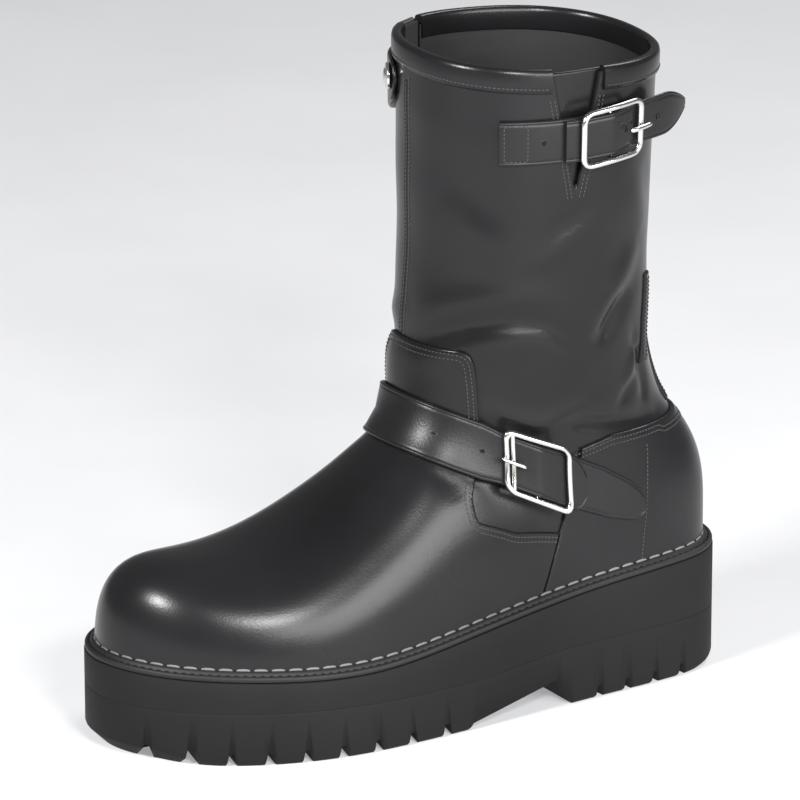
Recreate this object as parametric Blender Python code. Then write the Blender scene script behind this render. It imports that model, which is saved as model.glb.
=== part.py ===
"""Left engineer boot on a platform lug sole, built in metres with +Z up.

The toe points along -Y, the lateral (outer) side is +X and the origin is on the floor
under the middle of the sole. Inside the functions a place is written as (f, l, z):
f is the distance forward from the back of the heel, l is positive to the lateral side
and z is the height over the floor.
"""
import math

import bmesh
import bpy
import numpy as np
from mathutils import Vector

MM = 0.001

# Driving sizes
SOLE_LENGTH = 305 * MM
BALL_WIDTH = 118 * MM
HEEL_STACK = 56 * MM          # top of the platform at the heel
FORE_STACK = 37.2 * MM        # top of the platform under the ball
INSTEP_RISE = 87 * MM         # ridge of the instep over the platform
SHAFT_RISE = 241 * MM         # collar over the platform at the heel
SHAFT_DEPTH = 117 * MM        # collar, front to back
SHAFT_WIDTH = 100 * MM        # collar, side to side
SHAFT_SETBACK = 33 * MM       # back of the collar, forward from the back of the heel
UPPER_WALL = 2.2 * MM
OVERLAY = 1.2 * MM            # leather of vamp, counter and back stay
BAND_LEATHER = 0.9 * MM
FIT = 0.3 * MM                # gap between pieces that touch
CURVE_FIT = 0.5 * MM          # gap between curved pieces with unlike facets
OVERLAY_FIT = 0.55 * MM       # under vamp and counter, which share the upper's facets

# Sole
WELT_INSET = 6.4 * MM         # from the edge of the sole to the upper
WELT_HEIGHT = 4.8 * MM
WELT_LIP = 2.4 * MM
OUTSOLE_FORE = 22.5 * MM      # height of the parting line under the forefoot
OUTSOLE_HEEL = 27 * MM        # and under the heel
LUG_DEPTH = 5 * MM
GROOVE_WIDTH = 4.6 * MM
GROOVE_REACH = 27 * MM
CHANNEL_WIDTH = 5 * MM
EDGE_BEVEL = 1.6 * MM
TOE_BEVEL = 6.5 * MM
HEEL_BEVEL = 4.5 * MM
HEEL_BREAST = 94 * MM         # front of the heel, from its back
ARCH_END = 155 * MM
ARCH_RISE = 13.8 * MM
FORE_GROOVES = 9
FORE_GROOVE_START = 166 * MM
FORE_GROOVE_PITCH = 18.6 * MM
FORE_GROOVE_SHRINK = 0.3 * MM
HEEL_GROOVES = 4
HEEL_GROOVE_START = 32 * MM
HEEL_GROOVE_PITCH = 15.8 * MM
INSOLE_THICKNESS = 3 * MM

# Straps, buckles, zip and snap
STRAP_LEATHER = 2.0 * MM
CHAPE_LEATHER = 1.8 * MM           # of the fixed piece under each buckle
INSTEP_STRAP_WIDTH = 25.5 * MM
INSTEP_STRAP_HEIGHT = 111 * MM     # centre line over the floor, at the buckle
INSTEP_STRAP_SLOPE = 0.445         # rise per length toward the toe
INSTEP_BUCKLE_PLACE = 111 * MM     # from the back of the heel
COLLAR_STRAP_WIDTH = 20 * MM
COLLAR_STRAP_HEIGHT = 263 * MM
COLLAR_BUCKLE_PLACE = 81 * MM
BUCKLE_BAR = 2.7 * MM
MIDDLE_BAR = 2.2 * MM              # thickness of the bar that the prong turns on
INSTEP_BUCKLE_LENGTH = 34 * MM
COLLAR_BUCKLE_LENGTH = 32 * MM
BUCKLE_PLAY = 0.6 * MM             # between the strap's edge and the frame
PRONG = 2.2 * MM
ZIP_PLACE = 128 * MM               # from the back of the heel, on the medial side
ZIP_SLOT = 13 * MM
ZIP_CHAIN = 5.6 * MM
ZIP_FOOT = 14 * MM                 # from the welt to the end of the zip
SNAP_RADIUS = 6 * MM
GUSSET_PLACE = 95 * MM
GUSSET_WIDTH = 24 * MM
GUSSET_DEPTH = 57 * MM
BAND_HEIGHT = 10.5 * MM

COLLAR_PITCH = 6 * MM              # the front of the collar stands this much higher
COLLAR_DROP = 0.06                 # fall of the collar to the lateral side

# Sole outline, from the heel to the toe
# share of the length, lateral share and medial share of half the ball width
OUTLINE = [
    (0.000, 0.00, 0.00),
    (0.012, 0.36, 0.36),
    (0.050, 0.60, 0.60),
    (0.130, 0.735, 0.73),
    (0.250, 0.80, 0.77),
    (0.360, 0.86, 0.79),
    (0.470, 0.92, 0.84),
    (0.580, 0.97, 0.92),
    (0.680, 0.98, 0.99),
    (0.780, 0.90, 1.02),
    (0.870, 0.71, 0.97),
    (0.940, 0.45, 0.80),
    (0.985, 0.12, 0.53),
    (1.000, -0.21, 0.21),
]
# Platform top: share of the length, share of the drop from heel to ball
PLATFORM = [(0.0, 1.0), (0.15, 0.905), (0.30, 0.735), (0.50, 0.31), (0.66, 0.0), (0.80, 0.03), (1.0, 0.175)]
# Ridge of the foot: share of the length, share of the instep's rise over the platform
RIDGE = [
    (0.00, 0.506), (0.25, 0.815), (0.42, 0.955), (0.48, 1.0), (0.53, 0.955), (0.58, 0.856),
    (0.64, 0.745), (0.72, 0.612), (0.80, 0.525), (0.88, 0.498), (0.94, 0.495), (1.0, 0.483),
]
# Shaft: share of its rise, back line and front line as shares of its depth from the collar's
# back, half width as a share of half the collar's width
SHAFT = [
    (-0.07, -0.02, 0.53, 0.36),
    (0.02, -0.095, 0.62, 0.50),
    (0.10, -0.19, 0.73, 0.69),
    (0.18, -0.195, 0.85, 0.74),
    (0.265, -0.10, 0.965, 0.77),
    (0.37, -0.01, 1.035, 0.82),
    (0.475, 0.02, 1.02, 0.88),
    (0.60, 0.028, 0.998, 0.93),
    (0.76, 0.02, 0.994, 0.97),
    (1.00, 0.0, 0.996, 1.0),
]
# Vamp edge: angle round the shaft in degrees (lateral positive), share of the tongue's rise
VAMP_EDGE = [
    (-140, 0.20), (-90, 0.20), (-50, 0.28), (-30, 0.38), (-25, 0.46), (-23, 0.60), (-22, 0.88),
    (-19, 0.98), (-14, 1.0), (30, 1.0), (34, 0.985), (36, 0.94), (36.8, 0.85), (37, 0.72),
    (38, 0.42), (41, 0.32), (55, 0.25), (90, 0.20), (140, 0.20),
]
TONGUE_RISE = 112 * MM             # top of the tongue over the platform at the heel
COUNTER_RISE = 64 * MM             # top of the counter over the platform at the heel
# Seam between counter and vamp, as f and z in millimetres
SIDE_SEAM = [(116, 36), (107.6, 58.5), (97, 84.6), (89.8, 115), (86, 132)]
SEAM_COLUMNS = 6, 9                # columns of the upper, from the back, on the two sides of that seam
# Rows of the upper's mesh: share of the rows, share of the front profile; close at the ankle
ROW_SPACING = [(0, 0), (0.18, 0.10), (0.42, 0.42), (0.72, 0.62), (1, 1)]
# Loops of the upper: share of the front profile, share of the back's height
LOOPS = [(0, 0), (0.10, 0.045), (0.30, 0.11), (0.46, 0.20), (0.58, 0.36), (0.75, 0.62), (1, 1)]
FOOT_POWER = 2.3
SHAFT_POWER = 2.3
TOE_POWER = 3.0
TOE_ROUND = 38 * MM
HEEL_ROUND = 26 * MM
BLEND = 16 * MM                    # width of the soft corner between foot and shaft
AXIS = 92 * MM                     # the shaft's axis, from the back of the heel

COLUMNS = 38
ROWS = 26
STATIONS = 30


def spline(xs, ys, x, periodic=False):
    """Cubic spline through (xs, ys), natural or periodic, read at x."""
    xs = np.asarray(xs, float)
    ys = np.asarray(ys, float)
    n = len(xs)
    step = np.diff(xs)
    matrix = np.zeros((n, n))
    right = np.zeros((n,) + ys.shape[1:])
    for i in range(1, n - 1):
        matrix[i, i - 1:i + 2] = step[i - 1], 2 * (step[i - 1] + step[i]), step[i]
        right[i] = 6 * ((ys[i + 1] - ys[i]) / step[i] - (ys[i] - ys[i - 1]) / step[i - 1])
    if periodic:
        matrix[0, 0], matrix[0, -1] = 1, -1
        matrix[-1, 0], matrix[-1, 1], matrix[-1, -2] = 2 * (step[0] + step[-1]), step[0], step[-1]
        right[-1] = 6 * ((ys[1] - ys[0]) / step[0] - (ys[-1] - ys[-2]) / step[-1])
    else:
        matrix[0, 0] = matrix[-1, -1] = 1
    bend = np.linalg.solve(matrix, right)
    x = np.asarray(x, float)
    k = np.clip(np.searchsorted(xs, x, side="right") - 1, 0, n - 2)

    def spread(v):
        return v.reshape(v.shape + (1,) * (ys.ndim - 1))

    d = spread(x - xs[k])
    h = spread(step[k])
    slope = (ys[k + 1] - ys[k]) / h - h / 6 * (2 * bend[k] + bend[k + 1])
    return ys[k] + d * slope + d ** 2 * bend[k] / 2 + d ** 3 * (bend[k + 1] - bend[k]) / (6 * h)


def table(rows, x, size=1.0):
    """A table of shares read at x, its first column scaled by size."""
    rows = np.asarray(rows, float)
    keys = rows[:, 0] * size
    return spline(keys, rows[:, 1:], np.clip(x, keys[0], keys[-1]))


def sole_outline(count=720):
    """The sole's edge as points (f, l), centred on the sole's own box."""
    half = BALL_WIDTH / 2
    points = [(f * SOLE_LENGTH, lateral * half) for f, lateral, medial in OUTLINE]
    points += [(f * SOLE_LENGTH, -medial * half) for f, lateral, medial in OUTLINE[-2:0:-1]]
    ring = np.array(points + points[:1])
    along = np.concatenate([[0], np.cumsum(np.hypot(*np.diff(ring, axis=0).T))])
    fine = spline(along, ring, np.linspace(0, along[-1], count + 1), periodic=True)[:-1]
    fine[:, 1] -= (fine[:, 1].max() + fine[:, 1].min()) / 2
    fine[:, 0] -= fine[:, 0].min()
    fine[:, 0] *= SOLE_LENGTH / fine[:, 0].max()
    return fine


SOLE_EDGE = sole_outline()


def inset_edge(distance):
    """The sole's edge moved inward."""
    tangent = np.roll(SOLE_EDGE, -1, axis=0) - np.roll(SOLE_EDGE, 1, axis=0)
    tangent /= np.linalg.norm(tangent, axis=1)[:, None]
    inward = np.column_stack([-tangent[:, 1], tangent[:, 0]])
    if ((SOLE_EDGE - SOLE_EDGE.mean(axis=0)) * inward).sum() > 0:
        inward = -inward
    return SOLE_EDGE + inward * distance


def two_sides(edge):
    """A closed edge split at heel and toe into its lateral and its medial side."""
    edge = np.roll(edge, -edge[:, 0].argmin(), axis=0)
    toe = edge[:, 0].argmax()
    one = edge[:toe + 1]
    other = np.vstack([edge[toe:], edge[:1]])[::-1]
    return (one, other) if one[:, 1].mean() > other[:, 1].mean() else (other, one)


FEATHER_LATERAL, FEATHER_MEDIAL = two_sides(inset_edge(WELT_INSET))
FEATHER_BACK = FEATHER_LATERAL[0, 0]
FEATHER_TOE = FEATHER_LATERAL[-1, 0]


def platform(f):
    """Height of the platform's top."""
    share = table(PLATFORM, f, SOLE_LENGTH)[..., 0]
    return FORE_STACK + (HEEL_STACK - FORE_STACK) * share


def ridge(f):
    """Height of the foot's ridge, rounded down to the platform at toe and heel."""
    rise = INSTEP_RISE * table(RIDGE, f, SOLE_LENGTH)[..., 0]
    toe = np.clip((f - (FEATHER_TOE - TOE_ROUND)) / TOE_ROUND, 0, 1)
    heel = np.clip((FEATHER_BACK + HEEL_ROUND - f) / HEEL_ROUND, 0, 1)
    return platform(f) + rise * (1 - toe ** TOE_POWER) ** (1 / TOE_POWER) * (1 - heel ** 3) ** (1 / 3)


def foot_form(f, l, z):
    """Roughly the distance out of the foot's form."""
    inside = np.clip(f, FEATHER_BACK, FEATHER_TOE)
    lateral = np.interp(inside, FEATHER_LATERAL[:, 0], FEATHER_LATERAL[:, 1])
    medial = np.interp(inside, FEATHER_MEDIAL[:, 0], FEATHER_MEDIAL[:, 1])
    half = np.maximum((lateral - medial) / 2, 0.5 * MM)
    base = platform(f)
    rise = np.maximum(ridge(f) - base, 0.5 * MM)
    across = np.abs(l - (lateral + medial) / 2) / half
    upward = np.maximum(z - base, 0) / rise
    share = (across ** FOOT_POWER + upward ** FOOT_POWER) ** (1 / FOOT_POWER)
    distance = (share - 1) * np.minimum(half, rise)
    past = np.maximum(f - FEATHER_TOE, FEATHER_BACK - f)
    return np.where(past > 0, np.maximum(distance, 0) + past, distance)


def shaft_form(f, l, z):
    """Roughly the distance out of the shaft's form."""
    row = table(SHAFT, (z - HEEL_STACK) / SHAFT_RISE)
    back = SHAFT_SETBACK + SHAFT_DEPTH * row[..., 0]
    front = SHAFT_SETBACK + SHAFT_DEPTH * row[..., 1]
    half = SHAFT_WIDTH / 2 * row[..., 2]
    depth = (front - back) / 2
    share = (np.abs(f - (front + back) / 2) / depth) ** SHAFT_POWER + (np.abs(l) / half) ** SHAFT_POWER
    return (share ** (1 / SHAFT_POWER) - 1) * np.minimum(depth, half)


def form(f, l, z):
    """Foot and shaft joined with a soft corner: the outer face of the upper is where this is 0."""
    foot = foot_form(f, l, z)
    shaft = shaft_form(f, l, z)
    mix = np.clip(0.5 + 0.5 * (shaft - foot) / BLEND, 0, 1)
    return shaft * (1 - mix) + foot * mix - BLEND * mix * (1 - mix)


def cast(start_f, start_l, way_f, way_l, height):
    """The form's face along a level ray, at the height that height(f, l) gives."""
    near = np.zeros(np.broadcast(start_f, way_f, way_l).shape)
    far = np.full(near.shape, 180 * MM)
    for _ in range(36):
        middle = (near + far) / 2
        f = start_f + way_f * middle
        l = start_l + way_l * middle
        inside = form(f, l, height(f, l)) < 0
        near = np.where(inside, middle, near)
        far = np.where(inside, far, middle)
    f = start_f + way_f * near
    l = start_l + way_l * near
    return np.stack([f, l, height(f, l) + 0 * f], axis=-1)


def normals(points):
    """Outward normals of the form, level close to the feather line."""
    step = 0.2 * MM
    f, l, z = points[..., 0], points[..., 1], points[..., 2]
    slope = [form(f + step, l, z) - form(f - step, l, z),
             form(f, l + step, z) - form(f, l - step, z),
             form(f, l, z + step) - form(f, l, z - step)]
    normal = np.stack(slope, axis=-1)
    low = (z < platform(f) + 2 * MM)[..., None]
    normal = np.where(low, normal * [1, 1, 0], normal)
    return normal / np.linalg.norm(normal, axis=-1)[..., None]


def lift(points, distance):
    """Points on the form moved out along its normal."""
    return points + normals(points) * np.asarray(distance, float)[..., None]


def front_profile():
    """The form's front edge over its middle, from the toe's feather line to the collar."""
    start = np.array([AXIS + 20 * MM, HEEL_STACK + 19 * MM])
    angle = np.radians(np.linspace(-14, 84, 400))
    near = np.zeros(angle.shape)
    far = np.full(angle.shape, 330 * MM)
    for _ in range(40):
        middle = (near + far) / 2
        inside = form(start[0] + np.cos(angle) * middle, 0 * angle, start[1] + np.sin(angle) * middle) < 0
        near = np.where(inside, middle, near)
        far = np.where(inside, far, middle)
    points = np.column_stack([start[0] + np.cos(angle) * near, start[1] + np.sin(angle) * near])
    low = platform(FEATHER_TOE) + FIT
    high = HEEL_STACK + SHAFT_RISE + COLLAR_PITCH / 2
    return points[(points[:, 1] >= low) & (points[:, 1] <= high)]


FRONT = front_profile()
FRONT_ALONG = np.concatenate([[0], np.cumsum(np.hypot(*np.diff(FRONT, axis=0).T))])


def upper_point(u, v):
    """A point of the upper's outer face.

    u runs once round from the back over the lateral side, v from the feather line to the collar.
    """
    u, v = np.broadcast_arrays(np.asarray(u, float), np.asarray(v, float))
    front_f = np.interp(v * FRONT_ALONG[-1], FRONT_ALONG, FRONT[:, 0])
    front_z = np.interp(v * FRONT_ALONG[-1], FRONT_ALONG, FRONT[:, 1])
    foot_z = platform(FEATHER_BACK) + FIT
    top_z = HEEL_STACK + SHAFT_RISE - COLLAR_PITCH / 2
    back_z = foot_z + (top_z - foot_z) * table(LOOPS, v)[..., 0]
    back_f = SHAFT_SETBACK + SHAFT_DEPTH * table(SHAFT, (back_z - HEEL_STACK) / SHAFT_RISE)[..., 0]
    half = (front_f - back_f) / 2
    side = np.minimum(0.64 * half, SHAFT_WIDTH / 2)
    turn = 2 * np.pi * u
    start_f = (front_f + back_f) / 2 - (half - side ** 2 / half) * np.cos(turn)
    way_f = -side ** 2 / half * np.cos(turn)
    way_l = side * np.sin(turn)
    size = np.hypot(way_f, way_l)
    low = np.clip(1 - v / 0.14, 0, 1) ** 2
    high = np.clip((v - 0.5) / 0.5, 0, 1) ** 1.5

    def height(f, l):
        share = (np.clip(f, FEATHER_BACK, FEATHER_TOE) - FEATHER_BACK) / (FEATHER_TOE - FEATHER_BACK)
        chord = platform(FEATHER_BACK) * (1 - share) + platform(FEATHER_TOE) * share
        level = back_z + (front_z - back_z) * (f - back_f) / (front_f - back_f)
        return level + low * (platform(f) - chord) - high * COLLAR_DROP * l

    return cast(start_f, 0 * u, way_f / size, way_l / size, height)


def collar_height(f, l):
    """Height of the collar's rim."""
    share = (f - SHAFT_SETBACK) / SHAFT_DEPTH - 0.5
    return HEEL_STACK + SHAFT_RISE + COLLAR_PITCH * share - COLLAR_DROP * l


def around(angle, height, out):
    """A point round the shaft's axis: angle 0 is the front and 90 degrees the lateral side."""
    angle = np.asarray(angle, float)
    return lift(cast(AXIS + 0 * angle, 0 * angle, np.cos(angle), np.sin(angle), height), out)


def side_point(f, z, side, out):
    """A point on the lateral (1) or medial (-1) side at a given f and height.

    out is measured square to the form, but the point moves sideways, so f and z stay.
    """
    f, z = np.broadcast_arrays(np.asarray(f, float), np.asarray(z, float))
    found = cast(f, 0 * f, 0 * f, side + 0 * f, lambda ff, ll: z)
    found[..., 1] += side * np.asarray(out, float) / np.abs(normals(found)[..., 1])
    return found


def world(points):
    """(f, l, z) as (x, y, z)."""
    points = np.asarray(points, float)
    return np.stack([points[..., 1], SOLE_LENGTH / 2 - points[..., 0], points[..., 2]], axis=-1)


def clear_scene():
    for item in list(bpy.data.objects):
        bpy.data.objects.remove(item, do_unlink=True)


def material(name, colour, roughness, metallic=0.0):
    made = bpy.data.materials.new(name)
    made.use_nodes = True
    shader = made.node_tree.nodes["Principled BSDF"]
    shader.inputs["Base Color"].default_value = (*colour, 1)
    shader.inputs["Roughness"].default_value = roughness
    shader.inputs["Metallic"].default_value = metallic
    return made


def solid(name, points, faces, look, smooth=40):
    """One object from world points and faces, its faces turned outward."""
    mesh = bpy.data.meshes.new(name)
    mesh.from_pydata([tuple(p) for p in points], [], faces)
    work = bmesh.new()
    work.from_mesh(mesh)
    bmesh.ops.recalc_face_normals(work, faces=work.faces)
    if work.calc_volume(signed=True) < 0:
        bmesh.ops.reverse_faces(work, faces=work.faces)
    work.to_mesh(mesh)
    work.free()
    mesh.shade_smooth()
    mesh.set_sharp_from_angle(angle=math.radians(smooth))
    mesh.materials.append(look)
    made = bpy.data.objects.new(name, mesh)
    bpy.context.scene.collection.objects.link(made)
    return made


def shell(name, outer, inner, look, closed=False):
    """A sheet of leather: outer and inner are grids of world points, rows by columns."""
    rows, columns = outer.shape[:2]
    points = np.concatenate([outer.reshape(-1, 3), inner.reshape(-1, 3)])
    shift = rows * columns
    faces = []
    last = columns if closed else columns - 1
    for r in range(rows - 1):
        for c in range(last):
            n = (c + 1) % columns
            low_left, low_right = r * columns + c, r * columns + n
            high_left, high_right = (r + 1) * columns + c, (r + 1) * columns + n
            for triangle in ((low_left, low_right, high_right), (low_left, high_right, high_left)):
                faces.append(triangle)
                faces.append([shift + k for k in reversed(triangle)])
    for c in range(last):
        n = (c + 1) % columns
        top = (rows - 1) * columns
        faces.append([n, c, shift + c, shift + n])
        faces.append([top + c, top + n, shift + top + n, shift + top + c])
    if not closed:
        for r in range(rows - 1):
            a, b = r * columns, (r + 1) * columns
            faces.append([a, b, shift + b, shift + a])
            a, b = a + columns - 1, b + columns - 1
            faces.append([b, a, shift + a, shift + b])
    return solid(name, points, faces, look)


def stack(name, rings, look, smooth=40):
    """A body through closed rings of world points, its ends closed from side to side."""
    count = len(rings[0])
    points = np.concatenate(rings)
    faces = []
    for r in range(len(rings) - 1):
        for c in range(count):
            n = (c + 1) % count
            faces.append([r * count + c, r * count + n, (r + 1) * count + n, (r + 1) * count + c])
    for base in (0, (len(rings) - 1) * count):
        for c in range(count // 2):
            quad = [base + c, base + c + 1, base + (count - c - 1) % count, base + (count - c) % count]
            faces.append(list(dict.fromkeys(quad)))
    return solid(name, points, faces, look, smooth)


def tube_loop(name, sections, look, closed=True):
    """A bar through sections of world points, closed into a ring or with flat ends."""
    sections = np.asarray(sections)
    rows, count = sections.shape[:2]
    faces = []
    for r in range(rows if closed else rows - 1):
        for c in range(count):
            n = (c + 1) % count
            m = (r + 1) % rows
            faces.append([r * count + c, r * count + n, m * count + n, m * count + c])
    if not closed:
        faces.append(list(range(count)))
        faces.append(list(range((rows - 1) * count, rows * count)))
    return solid(name, sections.reshape(-1, 3), faces, look)


def cutter(name, points, faces):
    made = solid(name, points, faces, bpy.data.materials[0])
    made.hide_render = True
    made.display_type = "WIRE"
    return made


def prism(name, outline, low, high):
    """A cutter: an outline of (f, z) points carried across from l = low to l = high."""
    count = len(outline)
    points = [(f, l, z) for l in (low, high) for f, z in outline]
    faces = [list(range(count)), list(range(count, 2 * count))]
    for k in range(count):
        n = (k + 1) % count
        faces.append([k, n, count + n, count + k])
    return cutter(name, world(points), faces)


def cut(target, tool, operation="DIFFERENCE"):
    change = target.modifiers.new(tool.name, "BOOLEAN")
    change.operation = operation
    change.solver = "EXACT"
    change.object = tool


def sole_ring(inset, height, bevel=None):
    """A ring of world points round the sole: heel, lateral side, toe, medial side."""
    lateral, medial = two_sides(inset_edge(inset))
    share = (1 - np.cos(np.pi * np.arange(STATIONS + 1) / STATIONS)) / 2
    back, toe = lateral[0, 0], lateral[-1, 0]
    f = back + (toe - back) * share
    one = np.column_stack([f, np.interp(f, lateral[:, 0], lateral[:, 1])])
    other = np.column_stack([f, np.interp(f, medial[:, 0], medial[:, 1])])
    ring = np.vstack([one, other[-2:0:-1]])
    if bevel is not None:
        along = np.roll(ring, -1, axis=0) - np.roll(ring, 1, axis=0)
        along /= np.linalg.norm(along, axis=1)[:, None]
        inward = np.column_stack([along[:, 1], -along[:, 0]])
        if ((ring - ring.mean(axis=0)) * inward).sum() > 0:
            inward = -inward
        ring = ring + inward * bevel(ring[:, 0])[:, None]
    return world(np.column_stack([ring, height(ring[:, 0])]))


def edge_bevel(f):
    """Size of the bevel under the sole's edge."""
    toe = np.clip((f / SOLE_LENGTH - 0.86) / 0.10, 0, 1)
    heel = np.clip((0.10 - f / SOLE_LENGTH) / 0.08, 0, 1)
    return EDGE_BEVEL + (TOE_BEVEL - EDGE_BEVEL) * toe ** 2 + (HEEL_BEVEL - EDGE_BEVEL) * heel ** 2


def parting(f):
    """Height of the line between outsole and midsole."""
    heel = np.clip((ARCH_END - f) / (ARCH_END - HEEL_BREAST), 0, 1)
    heel = heel * heel * (3 - 2 * heel)
    toe = np.clip(f / SOLE_LENGTH - 0.6, 0, 1)
    return OUTSOLE_FORE + (OUTSOLE_HEEL - OUTSOLE_FORE) * heel + 6 * MM * toe


def groove_box(f, lateral_edge, side, turn):
    """The eight corners of one tread groove, cut in from the edge of the sole."""
    outer = lateral_edge + side * 4 * MM
    inner = lateral_edge - side * min(GROOVE_REACH, abs(lateral_edge) - 1 * MM)
    points = []
    for l, move in ((inner, turn), (outer, 0)):
        for part in (-0.5, 0.5):
            for z in (-2 * MM, LUG_DEPTH):
                taper = 0.75 if z > 0 else 1.15
                points.append((f + move + part * taper * GROOVE_WIDTH, l, z))
    return points


BOX_FACES = [(0, 1, 3, 2), (4, 6, 7, 5), (0, 2, 6, 4), (1, 5, 7, 3), (0, 4, 5, 1), (2, 3, 7, 6)]


def tread_cutter(name, side):
    """All grooves of one side as one cutter of separate boxes."""
    edge = two_sides(SOLE_EDGE)[0 if side > 0 else 1]
    fore = [FORE_GROOVE_START + FORE_GROOVE_PITCH * k - FORE_GROOVE_SHRINK * k * k
            for k in range(FORE_GROOVES)]
    heel = [HEEL_GROOVE_START + HEEL_GROOVE_PITCH * k for k in range(HEEL_GROOVES)]
    points = []
    faces = []
    for f, turn in [(f, -7 * MM) for f in fore] + [(f, 3 * MM) for f in heel]:
        box = groove_box(f, np.interp(f, edge[:, 0], edge[:, 1]), side, turn)
        faces += [tuple(len(points) + k for k in face) for face in BOX_FACES]
        points += box
    return cutter(name, world(points), faces)


def make_outsole(rubber):
    def floor_level(f):
        return 0 * f

    rings = [sole_ring(0, floor_level, edge_bevel), sole_ring(0, edge_bevel), sole_ring(0, parting)]
    outsole = stack("outsole", rings, rubber)
    width = BALL_WIDTH
    arch = [(HEEL_BREAST, -2 * MM), (HEEL_BREAST + 9.5 * MM, ARCH_RISE), (ARCH_END - 4 * MM, 3.2 * MM),
            (ARCH_END, -2 * MM)]
    cut(outsole, prism("arch_cutter", arch, -width, width))
    cut(outsole, tread_cutter("lateral_grooves", 1))
    cut(outsole, tread_cutter("medial_grooves", -1))
    half = CHANNEL_WIDTH / 2
    for name, start, end in (("fore_channel", FORE_GROOVE_START, SOLE_LENGTH - 12 * MM),
                             ("heel_channel", HEEL_GROOVE_START, HEEL_BREAST - 12 * MM)):
        outline = [(start, -2 * MM), (end, -2 * MM), (end, LUG_DEPTH * 0.9), (start, LUG_DEPTH * 0.9)]
        middle = 0 if start < HEEL_BREAST else -2 * MM
        cut(outsole, prism(name, outline, middle - half, middle + half))
    return outsole


def make_midsole(rubber):
    lip = 0.4 * MM

    def low(f):
        return parting(f) + FIT

    def low_side(f):
        return low(f) + lip

    def high_side(f):
        return platform(f) - lip

    rings = [sole_ring(lip, low), sole_ring(0, low_side), sole_ring(0, high_side), sole_ring(lip, platform)]
    return stack("midsole", rings, rubber)


def make_welt(leather):
    inner = WELT_INSET - CURVE_FIT
    rows = [(0.5 * MM, FIT), (0.3 * MM, WELT_LIP), (1.6 * MM, WELT_LIP + 1.3 * MM),
            (inner - 1.2 * MM, WELT_HEIGHT), (inner, WELT_HEIGHT), (inner, FIT)]
    rings = []
    for inset, rise in rows:
        rings.append(sole_ring(inset, lambda f: platform(f) + rise))
    rings = np.array(rings)
    sections = rings.transpose(1, 0, 2)
    return tube_loop("welt", sections, leather)


def make_insole(leather):
    inset = WELT_INSET + UPPER_WALL + 1.2 * MM

    def low(f):
        return platform(f) + FIT

    def high(f):
        return platform(f) + FIT + INSOLE_THICKNESS

    return stack("insole", [sole_ring(inset, low), sole_ring(inset, high)], leather)


def make_upper(leather):
    u = np.arange(COLUMNS) / COLUMNS
    outer = upper_point(u[None, :], mesh_rows()[:, None])
    inner = lift(outer, np.full(outer.shape[:2], -UPPER_WALL))
    upper = shell("upper", world(outer), world(inner), leather, closed=True)
    cut(upper, zip_cutter("zip_slot", ZIP_PLACE - ZIP_SLOT / 2))
    cut(upper, gusset_cutter())
    return upper


def zip_foot(f=ZIP_PLACE):
    """Height of the zip's lower end."""
    return float(platform(np.array(f))) + WELT_HEIGHT + ZIP_FOOT


def zip_cutter(name, back):
    """All that lies medially over the zip's foot, from f = back to the front edge of its slot."""
    front = ZIP_PLACE + ZIP_SLOT / 2
    top = HEEL_STACK + SHAFT_RISE + 30 * MM
    outline = [(back, zip_foot()), (front, zip_foot()), (front, top), (back, top)]
    return prism(name, outline, -SHAFT_WIDTH, -SHAFT_WIDTH / 8)


def gusset_cutter():
    rim = float(collar_height(np.array(GUSSET_PLACE), SHAFT_WIDTH / 2))
    over = 20 * MM
    half = GUSSET_WIDTH / 2 * (1 + over / GUSSET_DEPTH)
    outline = [(GUSSET_PLACE, rim - GUSSET_DEPTH), (GUSSET_PLACE + half, rim + over),
               (GUSSET_PLACE - half, rim + over)]
    return prism("gusset_notch", outline, SHAFT_WIDTH / 8, SHAFT_WIDTH)


def mesh_rows():
    return np.interp(np.linspace(0, 1, ROWS), *np.array(ROW_SPACING).T)


def welt_clear(u):
    """v just over the welt for each column."""
    v = np.linspace(0.01, 0.1, 181)
    points = upper_point(u[:, None], v[None, :])
    past = points[..., 2] > platform(points[..., 0]) + WELT_HEIGHT + FIT
    return v[np.argmax(past, axis=1)]


def overlay(name, first, last, top_row, look):
    """A sheet over the upper's own columns and rows, from the welt up; its edge is cut afterwards."""
    u = np.array([first] + list(range(math.ceil(first + 0.5), math.floor(last - 0.5) + 1)) + [last]) / COLUMNS
    rows = mesh_rows()
    low = welt_clear(u)
    start = 4
    foot = [low + (rows[start] - low) * k / start for k in range(start)]
    v = np.vstack(foot + [np.full(len(u), value) for value in rows[start:top_row]])
    base = upper_point(u[None, :], v)
    inner = lift(base, np.full(v.shape, OVERLAY_FIT))
    outer = lift(base, np.full(v.shape, OVERLAY_FIT + OVERLAY))
    return shell(name, world(outer), world(inner), look)


def vamp_edge_cutter():
    """A thick skin over all of the form that lies over the vamp's edge."""
    table_angles, shares = np.array(VAMP_EDGE).T
    angles = np.unique(np.concatenate([table_angles, np.arange(table_angles[0] + 1, table_angles[-1], 5)]))
    edge = HEEL_STACK + TONGUE_RISE * np.interp(angles, table_angles, shares)
    top = HEEL_STACK + TONGUE_RISE + 40 * MM
    level = edge + (top - edge) * np.linspace(0, 1, 9)[:, None]
    turn = np.broadcast_to(np.radians(angles), level.shape)
    outer = around(turn, lambda f, l: level, 6 * MM)
    inner = around(turn, lambda f, l: level, -4 * MM)
    made = shell("vamp_edge_cutter", world(outer), world(inner), bpy.data.materials[0])
    made.hide_render = True
    made.display_type = "WIRE"
    return made


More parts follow.
